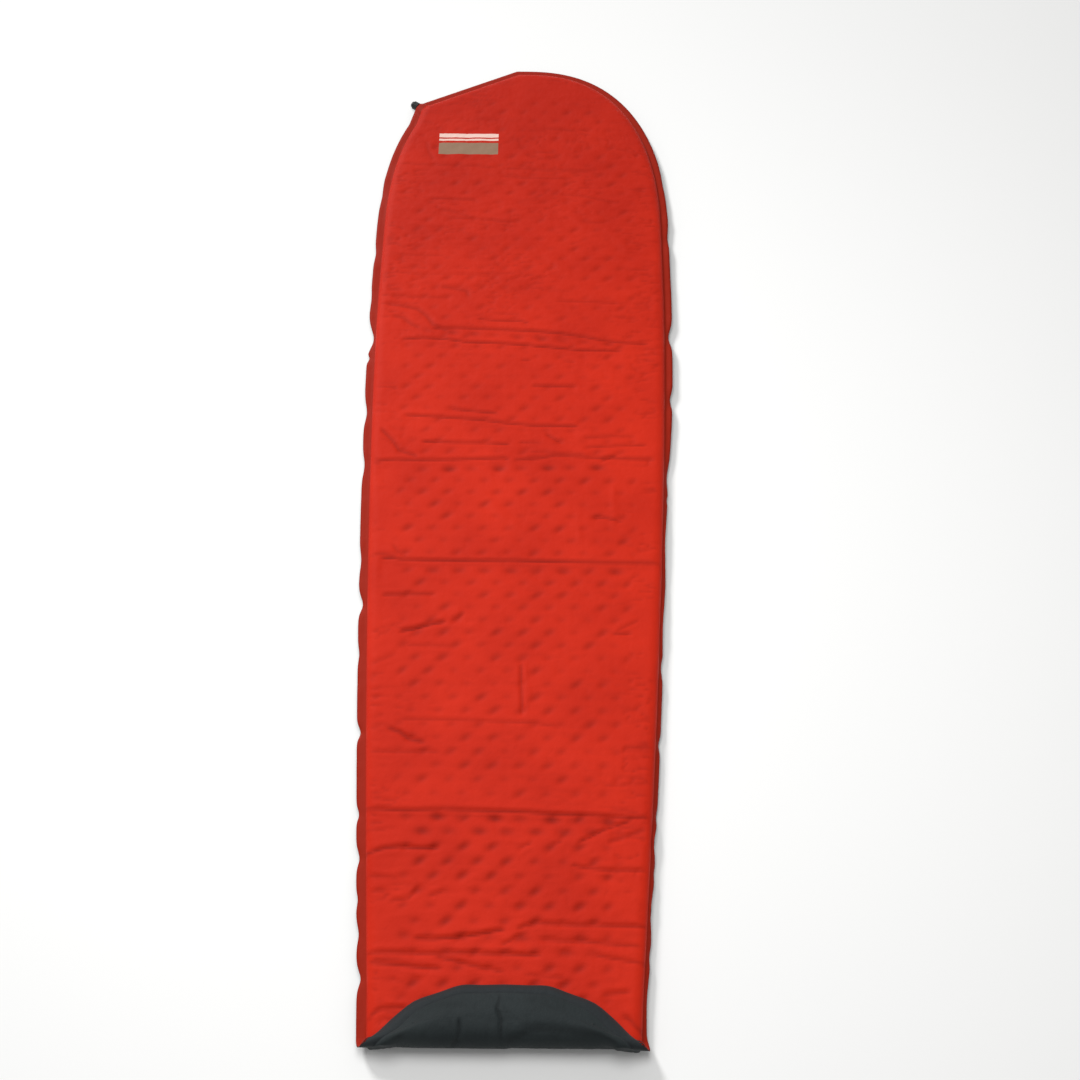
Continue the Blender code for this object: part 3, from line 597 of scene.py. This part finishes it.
def tuck(points):
    """How far the band's outer edge is drawn in at each flat point (x, s)."""
    x, y = points[:, 0], (HEAD_Y - points[:, 1]) / MM
    drawn = np.zeros(len(points))
    for side, tucks in ((x < 0, LEFT_TUCKS), (x >= 0, RIGHT_TUCKS + RIGHT_BELLIES)):
        for at, deep, half in tucks:
            drawn = np.where(side, np.maximum(drawn, deep * np.exp(-((y - at) / half) ** 2)), drawn)
    drawn = drawn + np.where(x > 0, 6.5 * smooth((150 - y) / 250), 0) * (1 - drawn / 13)
    return drawn * MM * smooth((points[:, 1] - 0.22) / 0.1) * (
        1 - smooth((points[:, 1] - FOLD_AT + 0.01) / 0.03))


def belly(points):
    """How far the grey underside bellies out at each flat point (x, s)."""
    x, y = points[:, 0], (HEAD_Y - points[:, 1]) / MM
    out = sum(deep * np.exp(-((y - at) / half) ** 2) for at, deep, half in RIGHT_BELLIES)
    return out * MM * (x > 0) * (1 - smooth((points[:, 1] - FOLD_AT + 0.01) / 0.03))


def sleeve(points):
    """Half height of the casing round the valve at flat points (x, s), 0 away from it."""
    inwards = np.array((-math.cos(VALVE_TURN), math.sin(VALVE_TURN)))
    off = points - np.array(valve_ear()[2])
    along = off @ inwards
    across = off @ np.array((inwards[1], -inwards[0]))
    ends = (0, SLEEVE_LENGTH)
    half = np.interp(along, ends, SLEEVE_HEIGHT)
    wide = np.interp(along, ends, SLEEVE_WIDTH)
    dome = np.sqrt(np.clip(1 - (across / wide) ** 2, 0, 1))
    return half * dome * smooth((along + 0.012) / 0.010) * (1 - smooth((along - 0.05) / 0.03))


def face_height(gap, full, rounding, power):
    """Height over mid plane at a distance from the edge: band, rounded edge, then face."""
    t = np.clip((gap - FLANGE) / rounding, 0, 1)
    return BAND + (full - BAND) * (1 - (1 - t) ** power) ** (1 / power)


def band_wave(points, gap):
    """The free edge of the band lifts and dips a little."""
    lift = noise_at(np.stack([points[:, 0] * 0.3, points[:, 1]], 1), 0.03, 0.034, 5)
    return 1.5 * MM * lift * (1 - smooth(gap / FLANGE)) * smooth((points[:, 1] - 0.2) / 0.1)


def edge_shift(points, gap):
    """How the welded band is tucked in, curled and waved: along x, and in height."""
    outer = 1 - np.clip(gap / FLANGE, 0, 1)
    inwards = -np.sign(points[:, 0])
    drawn, bulge = tuck(points), belly(points)
    shift = inwards * drawn * outer
    lift = band_wave(points, gap) + (0.5 * bulge - 0.5 * np.maximum(drawn - bulge, 0)) * outer**1.5
    return shift, lift


def loose_creases(xy, gap, main):
    """Relief of the creases and puckers that no table gives, and how sharp they are.

    Their height is in metres; each noise's two sizes are how long and how broad they are."""
    inside = smooth((gap / MM - 13.5) / 14)
    at_sides = smooth((gap / MM - 15) / 8) * (1 - smooth((gap / MM - 40) / 45))
    swell = noise_at(xy, 0.16, 0.10, 2) * 0.5
    pull = noise_at(xy, 0.09, 0.020, 3, 3)
    wrinkle = np.exp(-(pull / 0.10) ** 2) * smooth(noise_at(xy, 0.11, 0.05, 8) * 1.6 + 0.45)
    fine = noise_at(xy, 0.030, 0.010, 4, 3) * (1 + 0.9 * smooth((xy[:, 1] - 0.2) / 0.2))
    calmer = 0.35 + 0.65 * smooth((HEAD_Y - xy[:, 1] - 0.03) / 0.25)       # at the crown
    puckers = (0.16 * pull - wrinkle * (0.42 + 0.75 * at_sides)) * calmer
    # short creases across the head third, where the cover is fuller than its foam
    patches = smooth(noise_at(xy, 0.075, 0.055, 12) * 1.8 + 0.40)
    short = np.exp(-(noise_at(xy, 0.055, 0.011, 9, 2) / 0.075) ** 2) * patches * main
    short = short * smooth((xy[:, 1] - 0.12) / 0.15) * smooth((0.80 - xy[:, 1]) / 0.12)
    # sharpness, which also sets painted shade along the wrinkles and short creases
    sharp = np.maximum(wrinkle * (0.10 + 0.30 * at_sides) * main, 0.32 * short) * inside
    return (swell + puckers - 0.80 * short + 0.30 * fine) * MM * inside, sharp


def top_height(points, gap):
    """Height of the red side over the floor on the flat mat, its cells and its creases."""
    xy = np.stack([points[:, 0], HEAD_Y - points[:, 1]], 1)
    main = points[:, 1] < FOLD_AT - 0.004
    cells = cell_relief(xy, gap) * main
    relief, sharp = crease_relief(xy, CREASES, RIDGES)
    loose, loose_sharp = loose_creases(xy, gap, main)
    relief = relief * smooth((gap / MM - 15) / 16) + loose - cells * CELL_DIP
    from_valve = np.linalg.norm(points - np.array(valve_ear()[2]), axis=1)
    relief = np.minimum(relief, MOST_RELIEF) * main * smooth((from_valve - 0.035) / 0.04)
    over = face_height(gap, FACE_RISE, FACE_ROUNDING, 2.2)
    z = MIDDLE + over + FACE_CROWN * smooth((gap - 0.03) / 0.10) + relief
    casing = sleeve(points)
    z = np.where(casing > 0, np.maximum(z, MIDDLE + casing + BAND), z)
    return np.minimum(z, FACE_TOP), cells, np.maximum(sharp * main, loose_sharp)


# creases of the grey foot: knots (x, how far past the fold's end), then as for CREASES, in mm
FOOT_CREASES = (
    (((-12, 50), (-6, 34), (-9, 20), (-3, 4), (-4, -14)), 3.0, 2.6, 0.0, 6),
    (((-56, 8), (-54, -10)), 2.6, 2.4, 0.0, 6),
    (((-54, -8), (-66, -16)), 2.0, 2.4, 0.0, 6),
    (((-4, -13), (40, -2), (90, -4), (146, -6)), 1.7, 3.0, 1.3, 11),
    (((128, 14), (150, 0), (168, -12)), 2.2, 3.0, 0.6, 7),
    (((142, 24), (156, 12), (170, -8)), 2.6, 2.6, 0.0, 6),
    (((156, 4), (176, 2)), 2.0, 2.4, 0.0, 6),
    (((-170, 8), (-150, -2), (-120, -8)), 1.6, 3.2, 0.6, 8),
    (((-140, 14), (-90, 26), (-40, 22)), 0.9, 4.0, 0.5, 9),
    (((20, 30), (60, 34), (110, 20)), 0.9, 4.0, 0.5, 9),
)


def bottom_height(points, gap):
    """Height of the grey side over the floor on the flat mat."""
    below = face_height(gap, MIDDLE, UNDER_ROUNDING, 2.4)
    foot = np.stack([points[:, 0], points[:, 1] - FLAP_AT], 1)
    relief, sharp = crease_relief(foot, FOOT_CREASES, ())
    past = smooth((points[:, 1] - FOLD_AT) / BEND_LENGTH)
    inside = smooth((gap / MM - 12) / 10)
    uneven = noise_at(points, 0.05, 0.016, 6, 3)
    folds = np.exp(-(noise_at(points, 0.04, 0.03, 7, 2) / 0.09) ** 2)
    below = below + relief * inside - (0.5 + 0.8 * uneven + 0.5 * folds) * MM * past * inside
    casing = sleeve(points)
    z = MIDDLE - np.where(casing > 0, np.maximum(below, casing + BAND), below)
    # the foot is slack at its edge, so the weld lies down on the red side
    slack = np.clip(gap / FOOT_SLACK, 0, 1)
    drooped = FOOT_WELD * (1 - (1 - (1 - slack) ** DROOP_POWER) ** (1 / DROOP_POWER))
    z = z + np.maximum(drooped - z, 0) * on_foot(points)
    # the second value, how sharp the creases and folds are, also sets painted shade in them
    return np.maximum(z, 0), np.maximum(sharp, 0.25 * folds * past) * inside


def on_foot(points):
    """0 on the mat, 1 on the foot, and between them over most of the bend."""
    return smooth((points[:, 1] - FOLD_AT - BEND_LENGTH * 0.4) / (BEND_LENGTH * 0.8))


# --- Building the pieces ---
def linked(name, bm):
    """A scene object with the bmesh's mesh; the bmesh is freed."""
    mesh = bpy.data.meshes.new(name)
    bm.to_mesh(mesh)
    bm.free()
    piece = bpy.data.objects.new(name, mesh)
    bpy.context.scene.collection.objects.link(piece)
    return piece


def pinch_corners(placed, points, gap):
    """Draw the welded edge out to the front of the fold, and the foot's corners with it.

    It also takes a little off the foot's arc, which is blunter than an even curve."""
    s = points[:, 1]
    at_fold = smooth((s - FOLD_AT) / PINCH_REACH + 1) * (1 - smooth((s - FLAP_AT) / 0.03))
    edge = 1 - smooth((gap - FLANGE) / 0.024)
    placed[:, 1] -= PINCH * at_fold * edge
    corner = smooth((abs(points[:, 0]) - 0.108) / 0.03) * (1 - smooth((gap - 0.008) / 0.03))
    placed[:, 1] -= FOOT_CORNER_DROP * corner * smooth((s - FLAP_AT + 0.006) / 0.02)
    blunt = np.exp(-((abs(points[:, 0]) - FOOT_BLUNT_X) / 0.02) ** 2) * (1 - smooth(gap / 0.04))
    placed[:, 1] += FOOT_BLUNT * blunt * (s > FLAP_AT)
    placed[:, 1] = np.maximum(placed[:, 1], NOSE_Y)


def to_object(name, bm, points, heights, channels, gap=None, shift=0.0):
    """The finished object: laid out, with its flat place as UVs in metres and its channels."""
    placed = laid_out(np.column_stack([points[:, 0] + shift, points[:, 1], heights]))
    if gap is not None:
        pinch_corners(placed, points, gap)
    piece = linked(name, bm)
    mesh = piece.data
    mesh.vertices.foreach_set("co", placed.ravel())
    corners = np.empty(len(mesh.loops), np.int32)
    mesh.loops.foreach_get("vertex_index", corners)
    flat_uv = mesh.uv_layers.new(name="flat")
    flat_uv.data.foreach_set("uv", points[corners].ravel())
    for channel, values in channels.items():
        layer = mesh.attributes.new(channel, "FLOAT", "POINT")
        layer.data.foreach_set("value", np.ascontiguousarray(values, np.float32))
    mesh.shade_smooth()
    mesh.update()
    return piece


def flat_points(bm):
    """Where each point lies on the flat mat, as (x, s)."""
    return np.array([(vert.co.x, -vert.co.y) for vert in bm.verts])


def grid_places(bm):
    """Each point's row and column, -1 on the rings."""
    column, row = (bm.verts.layers.int[key] for key in ("column", "row"))
    return np.array([(vert[row], vert[column]) for vert in bm.verts])


def keep_faces(bm, wanted):
    """Delete the faces for which wanted(face) is false, with what only they used."""
    unwanted = [face for face in bm.faces if not wanted(face)]
    bmesh.ops.delete(bm, geom=unwanted, context="FACES")


def in_bend_band(face, number, first_ring):
    """Faces of the rings that go round the bend: they leave the red face for the fold band."""
    return FOLD_AT < -face.calc_center_median().y < FLAP_AT and any(
        vert[number] >= first_ring for vert in face.verts)


def settle_cover():
    """How far the red cover rises or sinks once its slack is pressed out between the cells.

    A coarser copy is held at its rim, in the cells and along the creases, and blown up a
    little from inside. Returns its layout and the rise at each of its rows and columns."""
    layout = Layout(SLACK_COLUMNS, SLACK_BEND_ROWS, SLACK_ROW_STEP)
    rise = np.zeros((layout.row_count, layout.columns + 1))
    bm = make_flat(layout, ())
    places, points = grid_places(bm), flat_points(bm)
    heights, cells, sharp = top_height(points, from_edge(points, layout))
    started = np.column_stack([points[:, 0], -points[:, 1], heights])
    cover = linked("slack_cover", bm)
    cover.data.vertices.foreach_set("co", started.ravel())
    held = cover.vertex_groups.new(name="held")
    rim = (places == 0).any(1) | (places[:, 0] == layout.row_count - 1) | (
        places[:, 1] == layout.columns) | (points[:, 1] > FOLD_AT - 0.01)
    for number in range(len(points)):
        hold = 1.0 if rim[number] else min(1.0, 2.2 * max(cells[number], sharp[number]))
        held.add([number], max(hold, FOAM_HOLD), "REPLACE")
    cloth = cover.modifiers.new("cloth", "CLOTH")
    settings = cloth.settings
    settings.quality, settings.mass = 5, 0.1
    settings.tension_stiffness = settings.compression_stiffness = 12
    settings.shear_stiffness, settings.bending_stiffness = 4, 5
    cover.shape_key_add(name="as laid")
    cut = cover.shape_key_add(name="as cut")
    longer = started.copy()
    longer[:, 1] *= 1 + SLACK
    cut.data.foreach_set("co", longer.ravel())
    settings.rest_shape_key = cut
    settings.use_pressure, settings.uniform_pressure_force = True, AIR_PRESSURE
    settings.vertex_group_mass, settings.pin_stiffness = "held", 1.0
    settings.effector_weights.gravity = 0
    cloth.collision_settings.use_collision = False
    cloth.point_cache.frame_start, cloth.point_cache.frame_end = 1, SETTLE_FRAMES
    scene = bpy.context.scene
    for frame_number in range(1, SETTLE_FRAMES + 1):
        scene.frame_set(frame_number)
    settled = cover.evaluated_get(bpy.context.evaluated_depsgraph_get()).data
    ended = np.empty(len(points) * 3)
    settled.vertices.foreach_get("co", ended)
    lifted = ended.reshape(-1, 3)[:, 2] - heights
    lifted = MOST_RISE * np.tanh(lifted / MOST_RISE) * ~rim
    rise[places[:, 0], places[:, 1]] = lifted
    bpy.data.objects.remove(cover)
    scene.frame_set(1)
    return layout, rise


def rise_at(bm, layout, coarse, rise):
    """The settled rise on each point of the finer grid, 0 on its rings."""
    places = grid_places(bm)
    fine = np.array([np.interp(layout.stations, coarse.stations, line) for line in rise.T])
    across, coarsely = (np.linspace(0, 1, one.columns + 1) for one in (layout, coarse))
    fine = np.array([np.interp(across, coarsely, line) for line in fine.T])
    for _ in range(4):
        fine[1:-1] = (fine[:-2] + 2 * fine[1:-1] + fine[2:]) / 4
        fine[:, 1:-1] = (fine[:, :-2] + 2 * fine[:, 1:-1] + fine[:, 2:]) / 4
    return np.where(places[:, 0] < 0, 0.0, fine[places[:, 0], places[:, 1]])


def weld_share(gap):
    """1 on the welded band, 0 on the face."""
    return smooth((FLANGE - gap) / (0.6 * MM) + 0.5)


def make_top():
    """The red cover, and the part of its edge that goes round the bend."""
    layout = Layout(COLUMNS, BEND_ROWS, ROW_STEP)
    bm = make_flat(layout, RINGS)
    points = flat_points(bm)
    gap = from_edge(points, layout)
    heights, cells, sharp = top_height(points, gap)
    heights = heights + rise_at(bm, layout, *settle_cover())
    shift, lift = edge_shift(points, gap)
    foot = bottom_height(points, gap)[0] + 2 * BAND
    heights = heights + lift + np.maximum(foot - heights, 0) * on_foot(points)
    heights = np.minimum(heights, FACE_TOP)
    heights[-len(layout.edge):] -= HEM
    first_ring = (layout.columns + 1) * layout.row_count
    # dip and fold are masks of painted shade in the cells and along the creases; band is the weld
    channels = {"band": weld_share(gap), "dip": cells, "fold": sharp}
    band = bm.copy()
    kept = []
    for name, piece in (("top_cover", bm), ("fold_band", band)):
        number = piece.verts.layers.int["number"]
        keep_faces(piece, lambda face: in_bend_band(face, number, first_ring) == (piece is band))
        numbers = np.array([vert[number] for vert in piece.verts])
        kept.append(to_object(
            name, piece, points[numbers], heights[numbers],
            {channel: values[numbers] for channel, values in channels.items()}, gap[numbers],
            shift[numbers]))
    return kept


def make_bottom():
    """The grey cover, whole: the underside, and the turned-over foot that shows."""
    layout = Layout(GREY_COLUMNS, GREY_BEND_ROWS, GREY_ROW_STEP)
    bm = make_flat(layout, RINGS)
    bmesh.ops.reverse_faces(bm, faces=bm.faces[:])
    points = flat_points(bm)
    gap = from_edge(points, layout)
    heights, sharp = bottom_height(points, gap)
    shift, lift = edge_shift(points, gap)
    heights = heights + lift - BAND / 2
    heights[-len(layout.edge):] += HEM
    shift = shift + belly(points) * np.exp(-((gap / MM - 17) / 7) ** 2)
    heights = np.where(gap > FLANGE, np.maximum(heights, 0), heights)
    # fold is a mask of painted shade along the creases and folds; band is the weld
    channels = {"band": weld_share(gap), "dip": np.zeros(len(points)), "fold": sharp}
    return to_object("bottom_cover", bm, points, heights, channels, gap, shift)


def make_foam():
    """One slab between the covers, its rows of cells as pits."""
    layout = Layout(FOAM_COLUMNS, FOAM_BEND_ROWS, FOAM_ROW_STEP, FOAM_INSET)
    bm = make_flat(layout, ())
    sheet = flat_points(bm)
    cells = cell_relief(np.stack([sheet[:, 0], HEAD_Y - sheet[:, 1]], 1), from_edge(sheet, layout))
    bmesh.ops.solidify(bm, geom=bm.faces[:], thickness=-FOAM_THICKNESS)
    bmesh.ops.recalc_face_normals(bm, faces=bm.faces[:])
    points = flat_points(bm)
    height = np.array([vert.co.z for vert in bm.verts])
    tops = height > height.min() + FOAM_THICKNESS / 2
    pits = PIT_DEPTH * cells[nearest(sheet, points)[0]]
    heights = np.where(tops, FOAM_TOP - pits, FOAM_TOP - FOAM_THICKNESS)
    points[:, 0] *= 1 - FOAM_WAIST * smooth((points[:, 1] - FOLD_AT) / 0.04 + 1)
    return to_object("foam_slab", bm, points, heights, {})


# --- Materials ---
def linear(hex_colour):
    """An sRGB hex colour as linear red, green, blue and alpha."""
    parts = [int(hex_colour[k:k + 2], 16) / 255 for k in (1, 3, 5)]
    return [c / 12.92 if c <= 0.04045 else ((c + 0.055) / 1.055) ** 2.4 for c in parts] + [1.0]


def plug(node, inputs):
    """Give a node's sockets their values, or other nodes' outputs."""
    for socket, value in inputs.items():
        if isinstance(value, bpy.types.NodeSocket):
            node.id_data.links.new(value, node.inputs[socket])
        else:
            node.inputs[socket].default_value = value


def add(tree, kind, inputs=None, out=0, **settings):
    """A node with its settings and what its sockets are given; returns its output `out`."""
    node = tree.nodes.new("ShaderNode" + kind)
    for key, value in settings.items():
        setattr(node, key, value)
    plug(node, inputs or {})
    return node.outputs[out]


def new_material(name, **settings):
    """A material, its shader with constant sockets set, and add() for its own nodes."""
    material = bpy.data.materials.new(name)
    material.use_nodes = True
    shader = material.node_tree.nodes["Principled BSDF"]
    plug(shader, {key.replace("_", " "): value for key, value in settings.items()})
    return material, shader, functools.partial(add, material.node_tree)


def dyed_cloth(name, face, crease_and_cell_shade, band, sheen):
    """Coated woven polyester: face colours, the second painted shade at the head; painted shade in
    its creases and cells; and the weld's colour.
    """
    material, shader, node = new_material(
        name, Sheen_Weight=sheen, Sheen_Roughness=0.45, IOR=1.5, Specular_IOR_Level=0.11)
    uv = node("UVMap", uv_map="flat")
    # slow unevenness of dye and coating, 60 to 200 mm across, and painted shade: the face mixed
    # towards its darker colour near the head
    cloud = node("TexNoise", {0: uv, "Scale": 9.0, "Detail": 3.0})
    cloud = node("Math", {0: cloud, 1: 1.6, 2: -0.45}, operation="MULTIPLY_ADD")
    along = node("SeparateXYZ", {0: uv}, out=1)
    painted_head_shade = node("Math", {0: along, 1: -1.1, 2: 0.75}, operation="MULTIPLY_ADD")
    painted_head_shade = node("Math", {0: painted_head_shade, 1: 0.0}, operation="MAXIMUM")
    share = node("Math", {0: cloud, 1: painted_head_shade}, operation="ADD")
    colour = node("Mix", {0: share, 6: face[0], 7: face[1]}, out=2, data_type="RGBA")
    # painted shade: dip and fold darken the face in the cells and along the creases, drawn is the
    # more of the two; band is the weld's own colour
    dip, fold, weld = (
        node("Math", {0: node("Attribute", out="Fac", attribute_name=channel), 1: strength},
             operation="MULTIPLY")
        for channel, strength in (("dip", 0.40), ("fold", 0.6), ("band", 0.92)))
    drawn = node("Math", {0: dip, 1: fold}, operation="MAXIMUM")
    colour = node("Mix", {0: drawn, 6: colour, 7: crease_and_cell_shade}, out=2, data_type="RGBA")
    colour = node("Mix", {0: weld, 6: colour, 7: band}, out=2, data_type="RGBA")
    return material, shader, node, uv, colour


def woven_surface(shader, node, uv, roughness, weave_depth, crumple_depth):
    """Plain weave, its grain and small creases, as bump; the grain also as roughness."""
    # real threads are 0.25 mm apart; drawn at 0.9 mm so that the weave shows at all
    wave = math.pi / (0.9 * MM)
    across, along = (
        node("Math", {0: node("Math", {0: node("SeparateXYZ", {0: uv}, out=axis), 1: wave},
                              operation="MULTIPLY")}, operation="SINE") for axis in (0, 1))
    weave = node("Math", {0: across, 1: along}, operation="MULTIPLY")
    grain = node("TexNoise", {0: uv, "Scale": 900.0, "Detail": 2.0})
    # creases 15 mm apart
    crumple = node("TexNoise", {0: uv, "Scale": 70.0, "Detail": 3.0, "Roughness": 0.6})
    height = 0.0
    for pattern, depth in (
            (weave, weave_depth / 2), (grain, 0.10 * MM), (crumple, crumple_depth)):
        height = node("Math", {0: pattern, 1: depth, 2: height}, operation="MULTIPLY_ADD")
    plug(shader, {
        "Roughness": node("Math", {0: grain, 1: 0.16, 2: roughness - 0.08},
                          operation="MULTIPLY_ADD"),
        "Normal": node("Bump", {"Strength": 0.55, "Distance": 1.0, "Height": height})})


def red_polyester():
    """75-denier polyester, dyed red-orange, coated inside: matt with a soft sheen."""
    # painted shade: #B21D08, the second face colour, darkens the face towards the head
    material, shader, node, uv, colour = dyed_cloth(
        # painted shade: #6E0F06 darkens the creases and the cells' dips
        "dyed_polyester_red", (linear("#C8270F"), linear("#B21D08")), linear("#6E0F06"),
        linear("#911E0A"), 0.04)
    # screen-printed patch near the head: a plain taupe field under two pale bars
    ink = node("TexNoise", {0: uv, "Scale": 700.0, "Detail": 2.0})
    worn = node("Math", {0: ink, 1: 0.33}, operation="GREATER_THAN")
    worn = node("Math", {0: worn, 1: 0.14, 2: 0.82}, operation="MULTIPLY_ADD")
    for across, along, hex_colour in PRINT:
        mask = worn
        for axis, (low, high) in enumerate((across, along)):
            place = node("SeparateXYZ", {0: uv}, out=axis)
            for limit, operation in ((low, "GREATER_THAN"), (high, "LESS_THAN")):
                kept = node("Math", {0: place, 1: limit}, operation=operation)
                mask = node("Math", {0: mask, 1: kept}, operation="MULTIPLY")
        colour = node("Mix", {0: mask, 6: colour, 7: linear(hex_colour)}, out=2,
                      data_type="RGBA")
    plug(shader, {"Base Color": colour})
    woven_surface(shader, node, uv, 0.62, 0.14 * MM, 1.3 * MM)
    return material


def grey_polyester():
    """75-denier polyester with a rubbery non-slip coating: dark and matt."""
    # painted shade: #1F2425, the second face colour, darkens the face towards the head
    material, shader, node, uv, colour = dyed_cloth(
        # painted shade: #121516 darkens the creases and folds
        "coated_polyester_grey", (linear("#2A3031"), linear("#1F2425")), linear("#121516"),
        linear("#282C2E"), 0.03)
    plug(shader, {"Base Color": colour})
    woven_surface(shader, node, uv, 0.66, 0.16 * MM, 3.0 * MM)
    return material


def foam_material():
    """Open-cell polyurethane foam, die-cut: pale, porous and quite matt."""
    material, shader, node = new_material(
        "cut_polyurethane_foam", IOR=1.45, Specular_IOR_Level=0.1, Roughness=0.95)
    # pores of about 1 mm, drawn at 1.5 mm
    pores = node("TexVoronoi", {0: node("TexCoord", out="Object"), "Scale": 650.0},
                 out="Distance")
    depth = node("Math", {0: pores, 1: 0.6 * MM}, operation="MULTIPLY")
    plug(shader, {
        "Base Color": node("Mix", {0: pores, 6: linear("#B9A77C"), 7: linear("#E6D9B4")},
                           out=2, data_type="RGBA"),
        "Normal": node("Bump", {"Strength": 0.6, "Distance": 1.0, "Height": depth})})
    return material


def valve_plastic():
    """Moulded black nylon: fine matt grain, a little polished where fingers turn it."""
    material, shader, node = new_material(
        "moulded_nylon_black", IOR=1.53, Specular_IOR_Level=0.45)
    place = node("TexCoord", out="Object")
    # spark-eroded mould grain of 0.3 mm, drawn at 0.6 mm
    grain = node("TexNoise", {0: place, "Scale": 1600.0, "Detail": 2.0})
    wear = node("TexNoise", {0: place, "Scale": 120.0, "Detail": 3.0})
    depth = node("Math", {0: grain, 1: 0.08 * MM}, operation="MULTIPLY")
    plug(shader, {
        "Base Color": node("Mix", {0: wear, 6: linear("#090A0B"), 7: linear("#131416")},
                           out=2, data_type="RGBA"),
        "Roughness": node("Math", {0: wear, 1: 0.2, 2: 0.34}, operation="MULTIPLY_ADD"),
        "Normal": node("Bump", {"Strength": 0.4, "Distance": 1.0, "Height": depth})})
    return material


def seal_material():
    """Moulded nitrile rubber: black, smooth, with a dull shine."""
    material, shader, node = new_material("nitrile_rubber", IOR=1.52, Specular_IOR_Level=0.5)
    dust = node("TexNoise", {0: node("TexCoord", out="Object"), "Scale": 500.0, "Detail": 3.0})
    plug(shader, {
        "Base Color": node("Mix", {0: dust, 6: linear("#0E0E0E"), 7: linear("#1F1F1E")},
                           out=2, data_type="RGBA"),
        "Roughness": node("Math", {0: dust, 1: 0.25, 2: 0.38}, operation="MULTIPLY_ADD")})
    return material


top_cover, fold_band = make_top()
bottom_cover = make_bottom()
foam_slab = make_foam()

red, grey = red_polyester(), grey_polyester()
for piece, material, slot in (
        (top_cover, red, "red_face_fabric"), (fold_band, red, "red_face_fabric"),
        (bottom_cover, grey, "grey_base_fabric"), (foam_slab, foam_material(), "foam")):
    piece.data.materials.append(material)
plastic, rubber = valve_plastic(), seal_material()
for node, material in (("valve_stem", plastic), ("valve_cap", plastic),
                       ("stem_o_ring", rubber), ("plug_o_ring", rubber)):
    bpy.data.objects[node].material_slots[0].material = material

# --- Each piece's turn range (not used), its transform baked in, and the frame's parts it replaces hidden ---
FACE_TURNS = (25.05 * MM, 25.25 * MM)      # the two red faces lie on each other here
ROUND_TURNS = (16.2 * MM, 27.4 * MM)       # between the edge's weld below and above
FOAM_TURNS = (19.3 * MM, 31.0 * MM)        # between the foam's two layers
for piece, (low, high) in ((top_cover, FACE_TURNS), (fold_band, ROUND_TURNS),
                           (bottom_cover, ROUND_TURNS), (foam_slab, FOAM_TURNS)):
    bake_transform(piece)
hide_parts("top_fabric", "top_fabric_foot")
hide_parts("top_fabric_bend")
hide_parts("bottom_fabric", "bottom_fabric_bend", "bottom_fabric_foot")
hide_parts("foam_core", "foam_core_bend", "foam_core_foot")


# --- Floor, light and camera ---
def make_floor():
    bm = bmesh.new()
    bmesh.ops.create_grid(bm, x_segments=2, y_segments=2, size=14)
    floor = linked("floor", bm)
    material, _, _ = new_material("matt_white_paper", Roughness=0.9, Specular_IOR_Level=0.1,
                                  Base_Color=linear("#F4F4F3"))
    floor.data.materials.append(material)


def add_light(name, place, aim, size, power):
    lamp = bpy.data.lights.new(name, "AREA")
    lamp.shape, lamp.size, lamp.energy = "DISK", size, power
    light = bpy.data.objects.new(name, lamp)
    light.location = place
    light.rotation_euler = (Vector(aim) - Vector(place)).to_track_quat("-Z", "Y").to_euler()
    bpy.context.scene.collection.objects.link(light)


make_floor()
add_light("key", place=(-3.8, 5.0, 4.5), aim=(0, 0, 0), size=2.0, power=410)
add_light("overhead", place=(-0.1, -0.3, 1.95), aim=(-0.1, -0.3, 0), size=1.2, power=19)
world = bpy.data.worlds.new("studio")
world.use_nodes = True
plug(world.node_tree.nodes["Background"], {"Color": linear("#FFFFFF"), "Strength": 0.36})
bpy.context.scene.world = world
bpy.context.scene.view_settings.view_transform = "Standard"

lens = bpy.data.cameras.new("camera")
lens.lens, lens.sensor_width, lens.clip_start = 46.905, 36, 0.05
camera = bpy.data.objects.new("camera", lens)
camera.location = (0.0493, -1.2011, 1.8723)
camera.rotation_euler = (math.radians(29.8), 0, math.radians(0.642))
bpy.context.scene.collection.objects.link(camera)
bpy.context.scene.camera = camera
